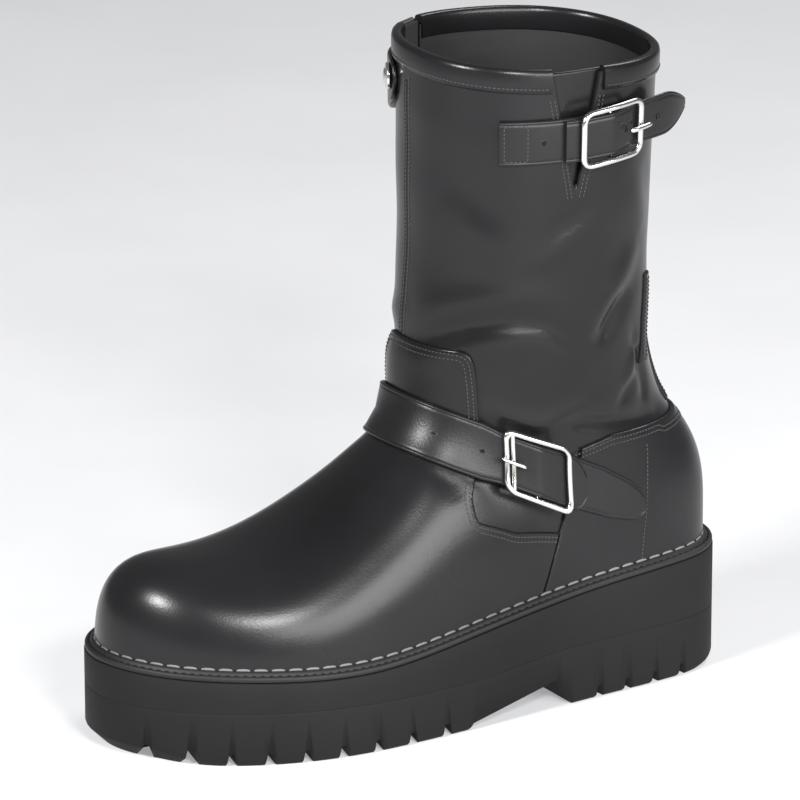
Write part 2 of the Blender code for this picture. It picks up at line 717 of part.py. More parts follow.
def seam_cutter(name, far, gap):
    """All that lies between f = far and the seam of counter and vamp."""
    seam = [(f * MM + gap, z * MM) for f, z in SIDE_SEAM]
    outline = seam + [(far, seam[-1][1]), (far, seam[0][1])]
    return prism(name, outline, -SHAFT_WIDTH, SHAFT_WIDTH)


def make_vamp(leather):
    vamp = overlay("vamp", SEAM_COLUMNS[0], COLUMNS - SEAM_COLUMNS[0], 21, leather)
    cut(vamp, vamp_edge_cutter())
    cut(vamp, seam_cutter("vamp_seam_cutter", -20 * MM, FIT / 2))
    cut(vamp, zip_cutter("vamp_zip_edge", HEEL_BREAST - 15 * MM))
    return vamp


def make_counter(leather):
    counter = overlay("counter", -SEAM_COLUMNS[1], SEAM_COLUMNS[1], 18, leather)
    edge = HEEL_STACK + COUNTER_RISE
    dip = 5 * MM
    top = HEEL_STACK + SHAFT_RISE
    outline = [(-20 * MM, edge - dip), (20 * MM, edge), (70 * MM, edge), (HEEL_BREAST, edge - dip),
               (SOLE_LENGTH / 2, edge - 2 * dip), (SOLE_LENGTH / 2, top), (-20 * MM, top)]
    cut(counter, prism("counter_edge_cutter", outline, -SHAFT_WIDTH, SHAFT_WIDTH))
    cut(counter, seam_cutter("counter_seam_cutter", SOLE_LENGTH, -FIT / 2))
    return counter


def strip(name, angles, low, high, inner, outer, look, height):
    """A sheet round the shaft: per angle its lower and upper edge over height(f, l) and its two faces."""
    share = np.array([0.0, 0.5, 1.0])[:, None]
    up = low[None, :] + (high - low)[None, :] * share
    turn = np.broadcast_to(angles, up.shape)

    def level(f, l):
        return height(f, l) + up

    return shell(name, world(around(turn, level, np.broadcast_to(outer, up.shape))),
                 world(around(turn, level, np.broadcast_to(inner, up.shape))), look)


def make_collar_bands(leather):
    """The folded band at the top edge, open at the zip and at the gusset."""
    level = HEEL_STACK + SHAFT_RISE - BAND_HEIGHT / 2

    def bearing(f, side):
        place = side_point(f, level, side, 0.0)
        return math.atan2(place[1], place[0] - AXIS)

    gusset = [bearing(GUSSET_PLACE + way * (GUSSET_WIDTH / 2 + 1 * MM), 1) for way in (1, -1)]
    slot = [bearing(ZIP_PLACE + way * (ZIP_SLOT / 2 + 1 * MM), -1) for way in (1, -1)]
    spans = {"collar_band_front": (slot[0], gusset[0], 23),
             "collar_band_back": (gusset[1], slot[1] + 2 * math.pi, 31)}
    for name, (start, end, count) in spans.items():
        angles = np.linspace(start, end, count)
        flat = np.zeros(count)
        strip(name, angles, flat - BAND_HEIGHT, flat - FIT, CURVE_FIT + flat, CURVE_FIT + BAND_LEATHER + flat,
              leather, collar_height)


def make_gusset(leather):
    """The panel behind the notch in the shaft."""
    rows = 7
    share = np.linspace(0, 1, rows)[:, None]
    rim = float(collar_height(np.array(GUSSET_PLACE), SHAFT_WIDTH / 2))
    z = rim - GUSSET_DEPTH - 6 * MM + (GUSSET_DEPTH + 4.5 * MM) * share + np.zeros((rows, 5))
    half = GUSSET_WIDTH / 2 * share + 5 * MM
    f = GUSSET_PLACE + np.linspace(-1, 1, 5)[None, :] * half
    inner = UPPER_WALL + CURVE_FIT
    outer = side_point(f, z, 1, np.full(f.shape, -inner))
    back = side_point(f, z, 1, np.full(f.shape, -inner - BAND_LEATHER - 0.4 * MM))
    shell("gusset", world(outer), world(back), leather)


def make_back_stay(leather):
    """The narrow strip down the back of the shaft, from the band to the counter."""
    angles = np.radians(np.linspace(168, 192, 7))
    top = np.full(7, -BAND_HEIGHT - FIT)
    rows = 9
    share = np.linspace(0, 1, rows)[:, None]
    length = SHAFT_RISE - COLLAR_PITCH / 2 - COUNTER_RISE - BAND_HEIGHT - 4 * MM
    up = top[None, :] - length * (1 - share)
    turn = np.broadcast_to(angles, up.shape)

    def level(f, l):
        return collar_height(f, l) + up

    shell("back_stay", world(around(turn, level, np.full(up.shape, CURVE_FIT + OVERLAY))),
          world(around(turn, level, np.full(up.shape, CURVE_FIT))), leather)


class Belt:
    """A strap's path round the shaft: s along it from the buckle toward the heel, w across it."""

    def __init__(self, height, slope, buckle_f):
        self.height = height
        self.rise = math.sqrt(1 + slope ** 2)
        self.angles = np.radians(np.linspace(-120, 240, 361))
        path = around(self.angles, height, np.zeros(361))
        along = np.concatenate([[0], np.cumsum(np.linalg.norm(np.diff(path, axis=0), axis=1))])
        lateral = (path[:, 1] > 0) & (self.angles > 0)
        at_buckle = np.interp(-buckle_f, -path[lateral, 0], along[lateral])
        self.along = along - at_buckle

    def angle(self, s):
        return np.interp(s, self.along, self.angles)

    def point(self, s, w, out):
        s, w, out = np.broadcast_arrays(np.asarray(s, float), np.asarray(w, float), np.asarray(out, float))

        def level(f, l):
            return self.height(f, l) + w * self.rise

        return around(self.angle(s), level, out)


def instep_level(f, l):
    return INSTEP_STRAP_HEIGHT + INSTEP_STRAP_SLOPE * (f - INSTEP_BUCKLE_PLACE)


def collar_level(f, l):
    rise = np.maximum(COLLAR_BUCKLE_PLACE + 15 * MM - f, 0)
    return COLLAR_STRAP_HEIGHT + 0.10 * rise


def strap_piece(name, belt, s, half, bottom, look, thickness=STRAP_LEATHER):
    """A strap through stations s with half widths and heights of its underside over the upper."""
    across = np.array([-1.0, -0.5, 0.0, 0.5, 1.0])[:, None]
    w = across * half[None, :]
    low = belt.point(s[None, :], w, bottom[None, :])
    high = belt.point(s[None, :], w, bottom[None, :] + thickness)
    return shell(name, world(high), world(low), look)


def buckle(name, belt, length, strap_width, left, right, bar, look):
    """A rounded frame bent to the belt, with its bar across the middle.

    left, right and bar are the heights of the bars' centres over the upper.
    """
    half_s = (length - BUCKLE_BAR) / 2
    half_w = strap_width / 2 + BUCKLE_PLAY + BUCKLE_BAR / 2
    corner = 4 * MM
    path = []
    for turn in range(4):
        start = math.radians(90 * turn)
        centre_s = (half_s - corner) * (1, -1, -1, 1)[turn]
        centre_w = (half_w - corner) * (1, 1, -1, -1)[turn]
        for k in range(4):
            angle = start + math.radians(30 * k)
            path.append((centre_s + corner * math.cos(angle), centre_w + corner * math.sin(angle),
                         math.cos(angle), math.sin(angle)))
    sections = []
    radius = BUCKLE_BAR / 2
    for s, w, out_s, out_w in path:
        middle = left + (right - left) * (s + half_s) / (2 * half_s)
        ring = []
        for k in range(8):
            angle = math.radians(45 * k + 22.5)
            reach = radius * math.cos(angle) * 1.08
            ring.append((s + out_s * reach, w + out_w * reach, middle + radius * math.sin(angle) * 0.92))
        sections.append(ring)
    sections = np.array(sections)
    frame = tube_loop(name, world(belt.point(sections[..., 0], sections[..., 1], sections[..., 2])), look)
    thick = MIDDLE_BAR / 2
    inside = half_w - BUCKLE_BAR / 2 - FIT
    centre = (left + right) / 2
    rows = []
    for w, level in ((-half_w, centre), (-inside, bar), (-inside / 2, bar), (inside / 2, bar), (inside, bar),
                     (half_w, centre)):
        rows.append([(thick * math.cos(a), w, level + thick * math.sin(a))
                     for a in np.radians(np.arange(8) * 45 + 22.5)])
    rows = np.array(rows)
    middle_bar = tube_loop(name + "_bar", world(belt.point(rows[..., 0], rows[..., 1], rows[..., 2])), look,
                           closed=False)
    middle_bar.hide_render = True
    middle_bar.display_type = "WIRE"
    cut(frame, middle_bar, "UNION")
    return frame


def prong(name, belt, stations, look):
    """A thin bar over the strap from the middle bar to the frame: stations of (s, height)."""
    rows = []
    radius = PRONG / 2
    for s, height in stations:
        rows.append([(s, radius * math.cos(a), height + radius * math.sin(a))
                     for a in np.radians(np.arange(8) * 45 + 22.5)])
    rows = np.array(rows)
    return tube_loop(name, world(belt.point(rows[..., 0], rows[..., 1], rows[..., 2])), look, closed=False)


def make_instep_strap(leather, metal):
    belt = Belt(instep_level, INSTEP_STRAP_SLOPE, INSTEP_BUCKLE_PLACE)
    seat = OVERLAY_FIT + OVERLAY + CURVE_FIT
    zip_side = side_point(ZIP_PLACE + ZIP_SLOT / 2 + 2 * MM, instep_level(ZIP_PLACE, 0), -1, 0.0)
    start_angle = math.atan2(zip_side[1], zip_side[0] - AXIS)
    start = float(np.interp(start_angle, belt.angles, belt.along))
    bar_half = INSTEP_BUCKLE_LENGTH / 2 - BUCKLE_BAR / 2
    chape_top = seat + STRAP_LEATHER
    bar = chape_top + FIT + MIDDLE_BAR / 2
    hump = bar + MIDDLE_BAR / 2 + 2 * FIT
    tip = bar_half + 11 * MM
    s = np.concatenate([np.linspace(start, -bar_half - 8 * MM, 22), np.linspace(-bar_half - 4 * MM, tip, 13)])
    height = np.interp(s, [start, -bar_half - 8 * MM, -bar_half, 0, bar_half, tip],
                       [seat, seat, seat + 0.9 * MM, hump, chape_top + FIT + 0.5 * MM, chape_top + FIT])
    play = np.clip((s + bar_half + 10 * MM) / (8 * MM), 0, 1)
    half = INSTEP_STRAP_WIDTH / 2 - 1.0 * MM * play
    end = np.clip((s - (tip - 7 * MM)) / (7 * MM), 0, 1)
    half = half * (1 - 0.55 * end ** 2)
    strap_piece("instep_strap", belt, s, half, height, leather)
    chape_s = np.linspace(-2 * MM, 62 * MM, 17)
    chape_half = np.interp(chape_s, [-2 * MM, 20 * MM, 40 * MM, 54 * MM, 59 * MM, 62 * MM],
                           np.array([11.2, 11.2, 10.4, 8.4, 6.6, 4.2]) * MM)
    strap_piece("instep_chape", belt, chape_s, chape_half, np.full(17, seat), leather, CHAPE_LEATHER)
    left = seat + 0.9 * MM + STRAP_LEATHER + BUCKLE_BAR / 2 + 0.6 * MM
    right = chape_top + STRAP_LEATHER + BUCKLE_BAR / 2 + 1.3 * MM
    buckle("instep_buckle", belt, INSTEP_BUCKLE_LENGTH, INSTEP_STRAP_WIDTH - 2 * MM, left, right, bar, metal)
    top = hump + STRAP_LEATHER + PRONG / 2 + 0.4 * MM
    over = left + (BUCKLE_BAR + PRONG) / 2 + 2 * FIT
    prong("instep_prong", belt, [(1.5 * MM, top), (-6 * MM, top), (-11 * MM, over), (-bar_half, over),
                                 (-bar_half - 2.5 * MM, over)], metal)


def make_collar_strap(leather, metal):
    belt = Belt(collar_level, 0.0, COLLAR_BUCKLE_PLACE)
    seat = CURVE_FIT
    bar_half = COLLAR_BUCKLE_LENGTH / 2 - BUCKLE_BAR / 2
    chape_top = seat + CHAPE_LEATHER
    bar = chape_top + FIT + MIDDLE_BAR / 2
    hump = bar + MIDDLE_BAR / 2 + 2 * FIT
    chape_s = np.linspace(-50 * MM, 2 * MM, 14)
    strap_piece("collar_chape", belt, chape_s, np.full(14, COLLAR_STRAP_WIDTH / 2), np.full(14, seat), leather,
                CHAPE_LEATHER)
    tip = bar_half + 30 * MM
    s = np.linspace(-bar_half - 7 * MM, tip, 20)
    height = np.interp(s, [s[0], -bar_half, 0, bar_half, bar_half + 6 * MM, tip],
                       np.array([0.3, 0.8, (hump - chape_top) / MM, 0.8, 1.6, 9.5]) * MM + chape_top)
    half = np.full(20, COLLAR_STRAP_WIDTH / 2 - 0.4 * MM)
    end = np.clip((s - (tip - 14 * MM)) / (14 * MM), 0, 1)
    half = half * (1 - 0.72 * end ** 1.6)
    strap_piece("collar_strap", belt, s, half, height, leather)
    level = chape_top + 0.8 * MM + STRAP_LEATHER + BUCKLE_BAR / 2 + 0.6 * MM
    buckle("collar_buckle", belt, COLLAR_BUCKLE_LENGTH, COLLAR_STRAP_WIDTH, level, level, bar, metal)
    top = hump + STRAP_LEATHER + PRONG / 2 + 0.4 * MM
    over = level + (BUCKLE_BAR + PRONG) / 2 + 2 * FIT
    prong("collar_prong", belt, [(-1.5 * MM, top), (5 * MM, top), (10 * MM, over), (bar_half, over),
                                 (bar_half + 2.5 * MM, over)], metal)


def zip_band(name, half, inner, outer, low, high, look, rows=22):
    """A band down the zip's line on the medial side, between two heights."""
    z = np.linspace(low, high, rows)[:, None] + np.zeros((rows, 3))
    f = ZIP_PLACE + np.linspace(-half, half, 3)[None, :] + np.zeros((rows, 3))
    return shell(name, world(side_point(f, z, -1, np.full(f.shape, outer))),
                 world(side_point(f, z, -1, np.full(f.shape, inner))), look)


def make_zip(cloth, metal):
    rim = float(collar_height(np.array(ZIP_PLACE), -SHAFT_WIDTH / 2 * 0.85))
    foot = zip_foot() + FIT
    zip_band("zip_tape", ZIP_SLOT / 2 - FIT, -UPPER_WALL, -1.2 * MM, foot, rim - 2 * MM, cloth)
    slider_top = rim - 1 * MM
    slider_foot = slider_top - 10 * MM
    chain_top = slider_foot - FIT
    zip_band("zip_chain", ZIP_CHAIN / 2, -1.2 * MM + FIT, 0.9 * MM, foot + 3 * MM, chain_top, metal)
    zip_band("zip_slider", 6 * MM, -1.2 * MM + FIT, 4.6 * MM, slider_foot, slider_top, metal, 4)
    zip_band("zip_pull", 3.6 * MM, 1.3 * MM, 2.4 * MM, slider_foot - 24 * MM, slider_foot - FIT, metal, 5)


def make_snap_flap(leather, metal):
    """The tab sewn behind the zip, which reaches forward over it to its snap."""
    degrees = np.array([-16, -18, -22, -28, -34, -40, -46, -52, -58, -64, -69], float)
    lower = np.array([-21, -26, -30, -33, -36, -39, -40.5, -41, -41, -41, -41]) * MM
    upper_edge = np.array([-17, -13, -11.6, -11.4, -11.4, -11.4, -11.4, -11.4, -11.4, -11.4, -11.4]) * MM
    lift_off = np.array([0.6, 0.6, 0.8, 1.4, 2.4, 3.2, 3.4, 3.2, 2.2, 1.2, 0.6]) * MM
    strip("snap_flap", np.radians(degrees), lower, upper_edge, lift_off, lift_off + OVERLAY + 0.3 * MM, leather,
          collar_height)
    angle = math.radians(-23.5)
    drop = -19.5 * MM

    def level(f, l):
        return collar_height(f, l) + drop

    base = 1.0 * MM + OVERLAY + 0.3 * MM
    centre = world(around(np.array(angle), level, np.array(base)))
    outward = world(around(np.array(angle), level, np.array(base + 1 * MM))) - centre
    outward = Vector(outward).normalized()
    side = outward.cross(Vector((0, 0, 1))).normalized()
    up = side.cross(outward)
    profile = [(1.0, 0.0), (1.0, 0.35), (0.86, 0.8), (0.55, 1.1), (0.2, 1.2)]
    rings = []
    for radius, height in profile:
        ring = []
        for k in range(20):
            turn = 2 * math.pi * k / 20
            place = Vector(centre) + outward * (0.5 * MM + height * 2 * MM)
            ring.append(place + (side * math.cos(turn) + up * math.sin(turn)) * SNAP_RADIUS * radius)
        rings.append(ring)
    tube_loop("snap", np.array(rings), metal, closed=False)


def main():
    clear_scene()
    leather = material("black_leather", (0.012, 0.012, 0.013), 0.36)
    rubber = material("black_rubber", (0.018, 0.018, 0.018), 0.78)
    metal = material("nickel", (0.78, 0.77, 0.75), 0.18, 1.0)
    cloth = material("zip_cloth", (0.014, 0.014, 0.015), 0.9)
    lining = material("lining", (0.05, 0.05, 0.052), 0.7)
    make_outsole(rubber)
    make_midsole(rubber)
    make_welt(leather)
    make_insole(lining)
    make_upper(leather)
    make_vamp(leather)
    make_counter(leather)
    make_collar_bands(leather)
    make_gusset(leather)
    make_back_stay(leather)
    make_instep_strap(leather, metal)
    make_collar_strap(leather, metal)
    make_zip(cloth, metal)
    make_snap_flap(leather, metal)


main()
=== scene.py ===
import math

import bmesh
import bpy
import numpy as np
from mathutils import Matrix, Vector

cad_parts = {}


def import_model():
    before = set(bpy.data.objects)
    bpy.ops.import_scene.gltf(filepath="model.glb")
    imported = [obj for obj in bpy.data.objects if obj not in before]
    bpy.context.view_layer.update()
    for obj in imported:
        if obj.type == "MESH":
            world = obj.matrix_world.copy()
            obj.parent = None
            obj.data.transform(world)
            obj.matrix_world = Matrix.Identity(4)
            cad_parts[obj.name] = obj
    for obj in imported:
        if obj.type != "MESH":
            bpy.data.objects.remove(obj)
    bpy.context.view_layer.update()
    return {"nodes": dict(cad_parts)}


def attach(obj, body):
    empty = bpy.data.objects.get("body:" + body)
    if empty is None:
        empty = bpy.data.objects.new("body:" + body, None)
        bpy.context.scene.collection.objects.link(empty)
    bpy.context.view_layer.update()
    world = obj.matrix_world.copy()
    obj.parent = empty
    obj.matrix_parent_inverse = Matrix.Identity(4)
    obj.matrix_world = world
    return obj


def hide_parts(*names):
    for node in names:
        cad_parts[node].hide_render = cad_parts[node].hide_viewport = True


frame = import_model()

MM = 0.001

# Driving sizes
SOLE_LENGTH = 305 * MM
BALL_WIDTH = 118 * MM
HEEL_STACK = 56 * MM          # top of the platform at the heel
FORE_STACK = 37.2 * MM        # top of the platform under the ball
INSTEP_RISE = 87 * MM         # ridge of the instep over the platform
SHAFT_RISE = 241 * MM         # collar over the platform at the heel
SHAFT_DEPTH = 117 * MM        # collar, front to back
SHAFT_WIDTH = 100 * MM        # collar, side to side
SHAFT_SETBACK = 33 * MM       # back of the collar, forward from the back of the heel
UPPER_WALL = 2.2 * MM
OVERLAY = 1.2 * MM            # leather of vamp, counter and back stay
FIT = 0.3 * MM                # gap between pieces that touch
CURVE_FIT = 0.5 * MM          # gap between curved pieces with unlike facets
OVERLAY_FIT = 0.55 * MM       # under vamp and counter, which share the upper's facets

# Sole
WELT_INSET = 6.4 * MM         # from the edge of the sole to the upper
WELT_HEIGHT = 4.8 * MM
OUTSOLE_FORE = 22.5 * MM      # height of the parting line under the forefoot
OUTSOLE_HEEL = 27 * MM        # and under the heel
LUG_DEPTH = 5 * MM
GROOVE_WIDTH = 4.6 * MM
GROOVE_REACH = 27 * MM
CHANNEL_WIDTH = 5 * MM
EDGE_BEVEL = 1.6 * MM
TOE_BEVEL = 6.5 * MM
HEEL_BEVEL = 4.5 * MM
HEEL_BREAST = 94 * MM         # front of the heel, from its back
ARCH_END = 155 * MM
ARCH_RISE = 13.8 * MM
FORE_GROOVES = 9
FORE_GROOVE_START = 166 * MM
FORE_GROOVE_PITCH = 18.6 * MM
FORE_GROOVE_SHRINK = 0.3 * MM
HEEL_GROOVES = 4
HEEL_GROOVE_START = 32 * MM
HEEL_GROOVE_PITCH = 15.8 * MM

# Straps, buckles, zip and snap
STRAP_LEATHER = 2.0 * MM
CHAPE_LEATHER = 1.8 * MM           # of the fixed piece under each buckle
INSTEP_STRAP_WIDTH = 25.5 * MM
INSTEP_STRAP_HEIGHT = 111 * MM     # centre line over the floor, at the buckle
INSTEP_STRAP_SLOPE = 0.445         # rise per length toward the toe
INSTEP_BUCKLE_PLACE = 111 * MM     # from the back of the heel
COLLAR_STRAP_WIDTH = 20 * MM
COLLAR_STRAP_HEIGHT = 263 * MM
COLLAR_BUCKLE_PLACE = 81 * MM
BUCKLE_BAR = 2.7 * MM
MIDDLE_BAR = 2.2 * MM              # thickness of the bar that the prong turns on
INSTEP_BUCKLE_LENGTH = 34 * MM
COLLAR_BUCKLE_LENGTH = 32 * MM
BUCKLE_PLAY = 0.6 * MM             # between the strap's edge and the frame
PRONG = 2.2 * MM
ZIP_PLACE = 128 * MM               # from the back of the heel, on the medial side
ZIP_SLOT = 13 * MM
ZIP_FOOT = 14 * MM                 # from the welt to the end of the zip
SNAP_RADIUS = 6 * MM
GUSSET_PLACE = 95 * MM
GUSSET_WIDTH = 24 * MM
GUSSET_DEPTH = 57 * MM
BAND_HEIGHT = 10.5 * MM

COLLAR_PITCH = 6 * MM              # the front of the collar stands this much higher
COLLAR_DROP = 0.06                 # fall of the collar to the lateral side

# Sole outline, from the heel to the toe
# share of the length, lateral share and medial share of half the ball width
OUTLINE = [
    (0.000, 0.00, 0.00),
    (0.012, 0.36, 0.36),
    (0.050, 0.60, 0.60),
    (0.130, 0.735, 0.73),
    (0.250, 0.80, 0.77),
    (0.360, 0.86, 0.79),
    (0.470, 0.92, 0.84),
    (0.580, 0.97, 0.92),
    (0.680, 0.98, 0.99),
    (0.780, 0.90, 1.02),
    (0.870, 0.71, 0.97),
    (0.940, 0.45, 0.80),
    (0.985, 0.12, 0.53),
    (1.000, -0.21, 0.21),
]
# Platform top: share of the length, share of the drop from heel to ball
PLATFORM = [(0.0, 1.0), (0.15, 0.905), (0.30, 0.735), (0.50, 0.31), (0.66, 0.0), (0.80, 0.03), (1.0, 0.175)]
# Ridge of the foot: share of the length, share of the instep's rise over the platform
RIDGE = [
    (0.00, 0.506), (0.25, 0.815), (0.42, 0.955), (0.48, 1.0), (0.53, 0.955), (0.58, 0.856),
    (0.64, 0.745), (0.72, 0.612), (0.80, 0.525), (0.88, 0.498), (0.94, 0.495), (1.0, 0.483),
]
# Shaft: share of its rise, back line and front line as shares of its depth from the collar's
# back, half width as a share of half the collar's width
SHAFT = [
    (-0.07, -0.02, 0.53, 0.36),
    (0.02, -0.095, 0.62, 0.50),
    (0.10, -0.19, 0.73, 0.69),
    (0.18, -0.195, 0.85, 0.74),
    (0.265, -0.10, 0.965, 0.77),
    (0.37, -0.01, 1.035, 0.82),
    (0.475, 0.02, 1.02, 0.88),
    (0.60, 0.028, 0.998, 0.93),
    (0.76, 0.02, 0.994, 0.97),
    (1.00, 0.0, 0.996, 1.0),
]
# Vamp edge: angle round the shaft in degrees (lateral positive), share of the tongue's rise
VAMP_EDGE = [
    (-140, 0.20), (-90, 0.20), (-50, 0.28), (-30, 0.38), (-25, 0.46), (-23, 0.60), (-22, 0.88),
    (-19, 0.98), (-14, 1.0), (30, 1.0), (34, 0.985), (36, 0.94), (36.8, 0.85), (37, 0.72),
    (38, 0.42), (41, 0.32), (55, 0.25), (90, 0.20), (140, 0.20),
]
TONGUE_RISE = 112 * MM             # top of the tongue over the platform at the heel
COUNTER_RISE = 64 * MM             # top of the counter over the platform at the heel
# Seam between counter and vamp, as f and z in millimetres
SIDE_SEAM = [(116, 36), (107.6, 58.5), (97, 84.6), (89.8, 115), (86, 132)]
SEAM_COLUMNS = 6, 9                # columns of the upper, from the back, on the two sides of that seam
# Rows of the upper's mesh: share of the rows, share of the front profile; close at the ankle
ROW_SPACING = [(0, 0), (0.18, 0.10), (0.42, 0.42), (0.72, 0.62), (1, 1)]
# Loops of the upper: share of the front profile, share of the back's height
LOOPS = [(0, 0), (0.10, 0.045), (0.30, 0.11), (0.46, 0.20), (0.58, 0.36), (0.75, 0.62), (1, 1)]
FOOT_POWER = 2.3
SHAFT_POWER = 2.3
TOE_POWER = 3.0
TOE_ROUND = 38 * MM
HEEL_ROUND = 26 * MM
BLEND = 16 * MM                    # width of the soft corner between foot and shaft
AXIS = 92 * MM                     # the shaft's axis, from the back of the heel

COLUMNS = 38


def spline(xs, ys, x, periodic=False):
    """Cubic spline through (xs, ys), natural or periodic, read at x."""
    xs = np.asarray(xs, float)
    ys = np.asarray(ys, float)
    n = len(xs)
    step = np.diff(xs)
    matrix = np.zeros((n, n))
    right = np.zeros((n,) + ys.shape[1:])
    for i in range(1, n - 1):
        matrix[i, i - 1:i + 2] = step[i - 1], 2 * (step[i - 1] + step[i]), step[i]
        right[i] = 6 * ((ys[i + 1] - ys[i]) / step[i] - (ys[i] - ys[i - 1]) / step[i - 1])
    if periodic:
        matrix[0, 0], matrix[0, -1] = 1, -1
        matrix[-1, 0], matrix[-1, 1], matrix[-1, -2] = 2 * (step[0] + step[-1]), step[0], step[-1]
        right[-1] = 6 * ((ys[1] - ys[0]) / step[0] - (ys[-1] - ys[-2]) / step[-1])
    else:
        matrix[0, 0] = matrix[-1, -1] = 1
    bend = np.linalg.solve(matrix, right)
    x = np.asarray(x, float)
    k = np.clip(np.searchsorted(xs, x, side="right") - 1, 0, n - 2)

    def spread(v):
        return v.reshape(v.shape + (1,) * (ys.ndim - 1))

    d = spread(x - xs[k])
    h = spread(step[k])
    slope = (ys[k + 1] - ys[k]) / h - h / 6 * (2 * bend[k] + bend[k + 1])
    return ys[k] + d * slope + d ** 2 * bend[k] / 2 + d ** 3 * (bend[k + 1] - bend[k]) / (6 * h)


def table(rows, x, size=1.0):
    """A table of shares read at x, its first column scaled by size."""
    rows = np.asarray(rows, float)
    keys = rows[:, 0] * size
    return spline(keys, rows[:, 1:], np.clip(x, keys[0], keys[-1]))


def sole_outline(count=720):
    """The sole's edge as points (f, l), centred on the sole's own box."""
    half = BALL_WIDTH / 2
    points = [(f * SOLE_LENGTH, lateral * half) for f, lateral, medial in OUTLINE]
    points += [(f * SOLE_LENGTH, -medial * half) for f, lateral, medial in OUTLINE[-2:0:-1]]
    ring = np.array(points + points[:1])
    along = np.concatenate([[0], np.cumsum(np.hypot(*np.diff(ring, axis=0).T))])
    fine = spline(along, ring, np.linspace(0, along[-1], count + 1), periodic=True)[:-1]
    fine[:, 1] -= (fine[:, 1].max() + fine[:, 1].min()) / 2
    fine[:, 0] -= fine[:, 0].min()
    fine[:, 0] *= SOLE_LENGTH / fine[:, 0].max()
    return fine


SOLE_EDGE = sole_outline()


def inset_edge(distance):
    """The sole's edge moved inward."""
    tangent = np.roll(SOLE_EDGE, -1, axis=0) - np.roll(SOLE_EDGE, 1, axis=0)
    tangent /= np.linalg.norm(tangent, axis=1)[:, None]
    inward = np.column_stack([-tangent[:, 1], tangent[:, 0]])
    if ((SOLE_EDGE - SOLE_EDGE.mean(axis=0)) * inward).sum() > 0:
        inward = -inward
    return SOLE_EDGE + inward * distance


def two_sides(edge):
    """A closed edge split at heel and toe into its lateral and its medial side."""
    edge = np.roll(edge, -edge[:, 0].argmin(), axis=0)
    toe = edge[:, 0].argmax()
    one = edge[:toe + 1]
    other = np.vstack([edge[toe:], edge[:1]])[::-1]
    return (one, other) if one[:, 1].mean() > other[:, 1].mean() else (other, one)


FEATHER_LATERAL, FEATHER_MEDIAL = two_sides(inset_edge(WELT_INSET))
FEATHER_BACK = FEATHER_LATERAL[0, 0]
FEATHER_TOE = FEATHER_LATERAL[-1, 0]


def platform(f):
    """Height of the platform's top."""
    share = table(PLATFORM, f, SOLE_LENGTH)[..., 0]
    return FORE_STACK + (HEEL_STACK - FORE_STACK) * share


def ridge(f):
    """Height of the foot's ridge, rounded down to the platform at toe and heel."""
    rise = INSTEP_RISE * table(RIDGE, f, SOLE_LENGTH)[..., 0]
    toe = np.clip((f - (FEATHER_TOE - TOE_ROUND)) / TOE_ROUND, 0, 1)
    heel = np.clip((FEATHER_BACK + HEEL_ROUND - f) / HEEL_ROUND, 0, 1)
    return platform(f) + rise * (1 - toe ** TOE_POWER) ** (1 / TOE_POWER) * (1 - heel ** 3) ** (1 / 3)


def foot_form(f, l, z):
    """Roughly the distance out of the foot's form."""
    inside = np.clip(f, FEATHER_BACK, FEATHER_TOE)
    lateral = np.interp(inside, FEATHER_LATERAL[:, 0], FEATHER_LATERAL[:, 1])
    medial = np.interp(inside, FEATHER_MEDIAL[:, 0], FEATHER_MEDIAL[:, 1])
    half = np.maximum((lateral - medial) / 2, 0.5 * MM)
    base = platform(f)
    rise = np.maximum(ridge(f) - base, 0.5 * MM)
    across = np.abs(l - (lateral + medial) / 2) / half
    upward = np.maximum(z - base, 0) / rise
    share = (across ** FOOT_POWER + upward ** FOOT_POWER) ** (1 / FOOT_POWER)
    distance = (share - 1) * np.minimum(half, rise)
    past = np.maximum(f - FEATHER_TOE, FEATHER_BACK - f)
    return np.where(past > 0, np.maximum(distance, 0) + past, distance)


def shaft_form(f, l, z):
    """Roughly the distance out of the shaft's form."""
    row = table(SHAFT, (z - HEEL_STACK) / SHAFT_RISE)
    back = SHAFT_SETBACK + SHAFT_DEPTH * row[..., 0]
    front = SHAFT_SETBACK + SHAFT_DEPTH * row[..., 1]
    half = SHAFT_WIDTH / 2 * row[..., 2]
    depth = (front - back) / 2
    share = (np.abs(f - (front + back) / 2) / depth) ** SHAFT_POWER + (np.abs(l) / half) ** SHAFT_POWER
    return (share ** (1 / SHAFT_POWER) - 1) * np.minimum(depth, half)


def form(f, l, z):
    """Foot and shaft joined with a soft corner: the outer face of the upper is where this is 0."""
    foot = foot_form(f, l, z)
    shaft = shaft_form(f, l, z)
    mix = np.clip(0.5 + 0.5 * (shaft - foot) / BLEND, 0, 1)
    return shaft * (1 - mix) + foot * mix - BLEND * mix * (1 - mix)


def cast(start_f, start_l, way_f, way_l, height):
    """The form's face along a level ray, at the height that height(f, l) gives."""
    near = np.zeros(np.broadcast(start_f, way_f, way_l).shape)
    far = np.full(near.shape, 180 * MM)
    for _ in range(36):
        middle = (near + far) / 2
        f = start_f + way_f * middle
        l = start_l + way_l * middle
        inside = form(f, l, height(f, l)) < 0
        near = np.where(inside, middle, near)
        far = np.where(inside, far, middle)
    f = start_f + way_f * near
    l = start_l + way_l * near
    return np.stack([f, l, height(f, l) + 0 * f], axis=-1)


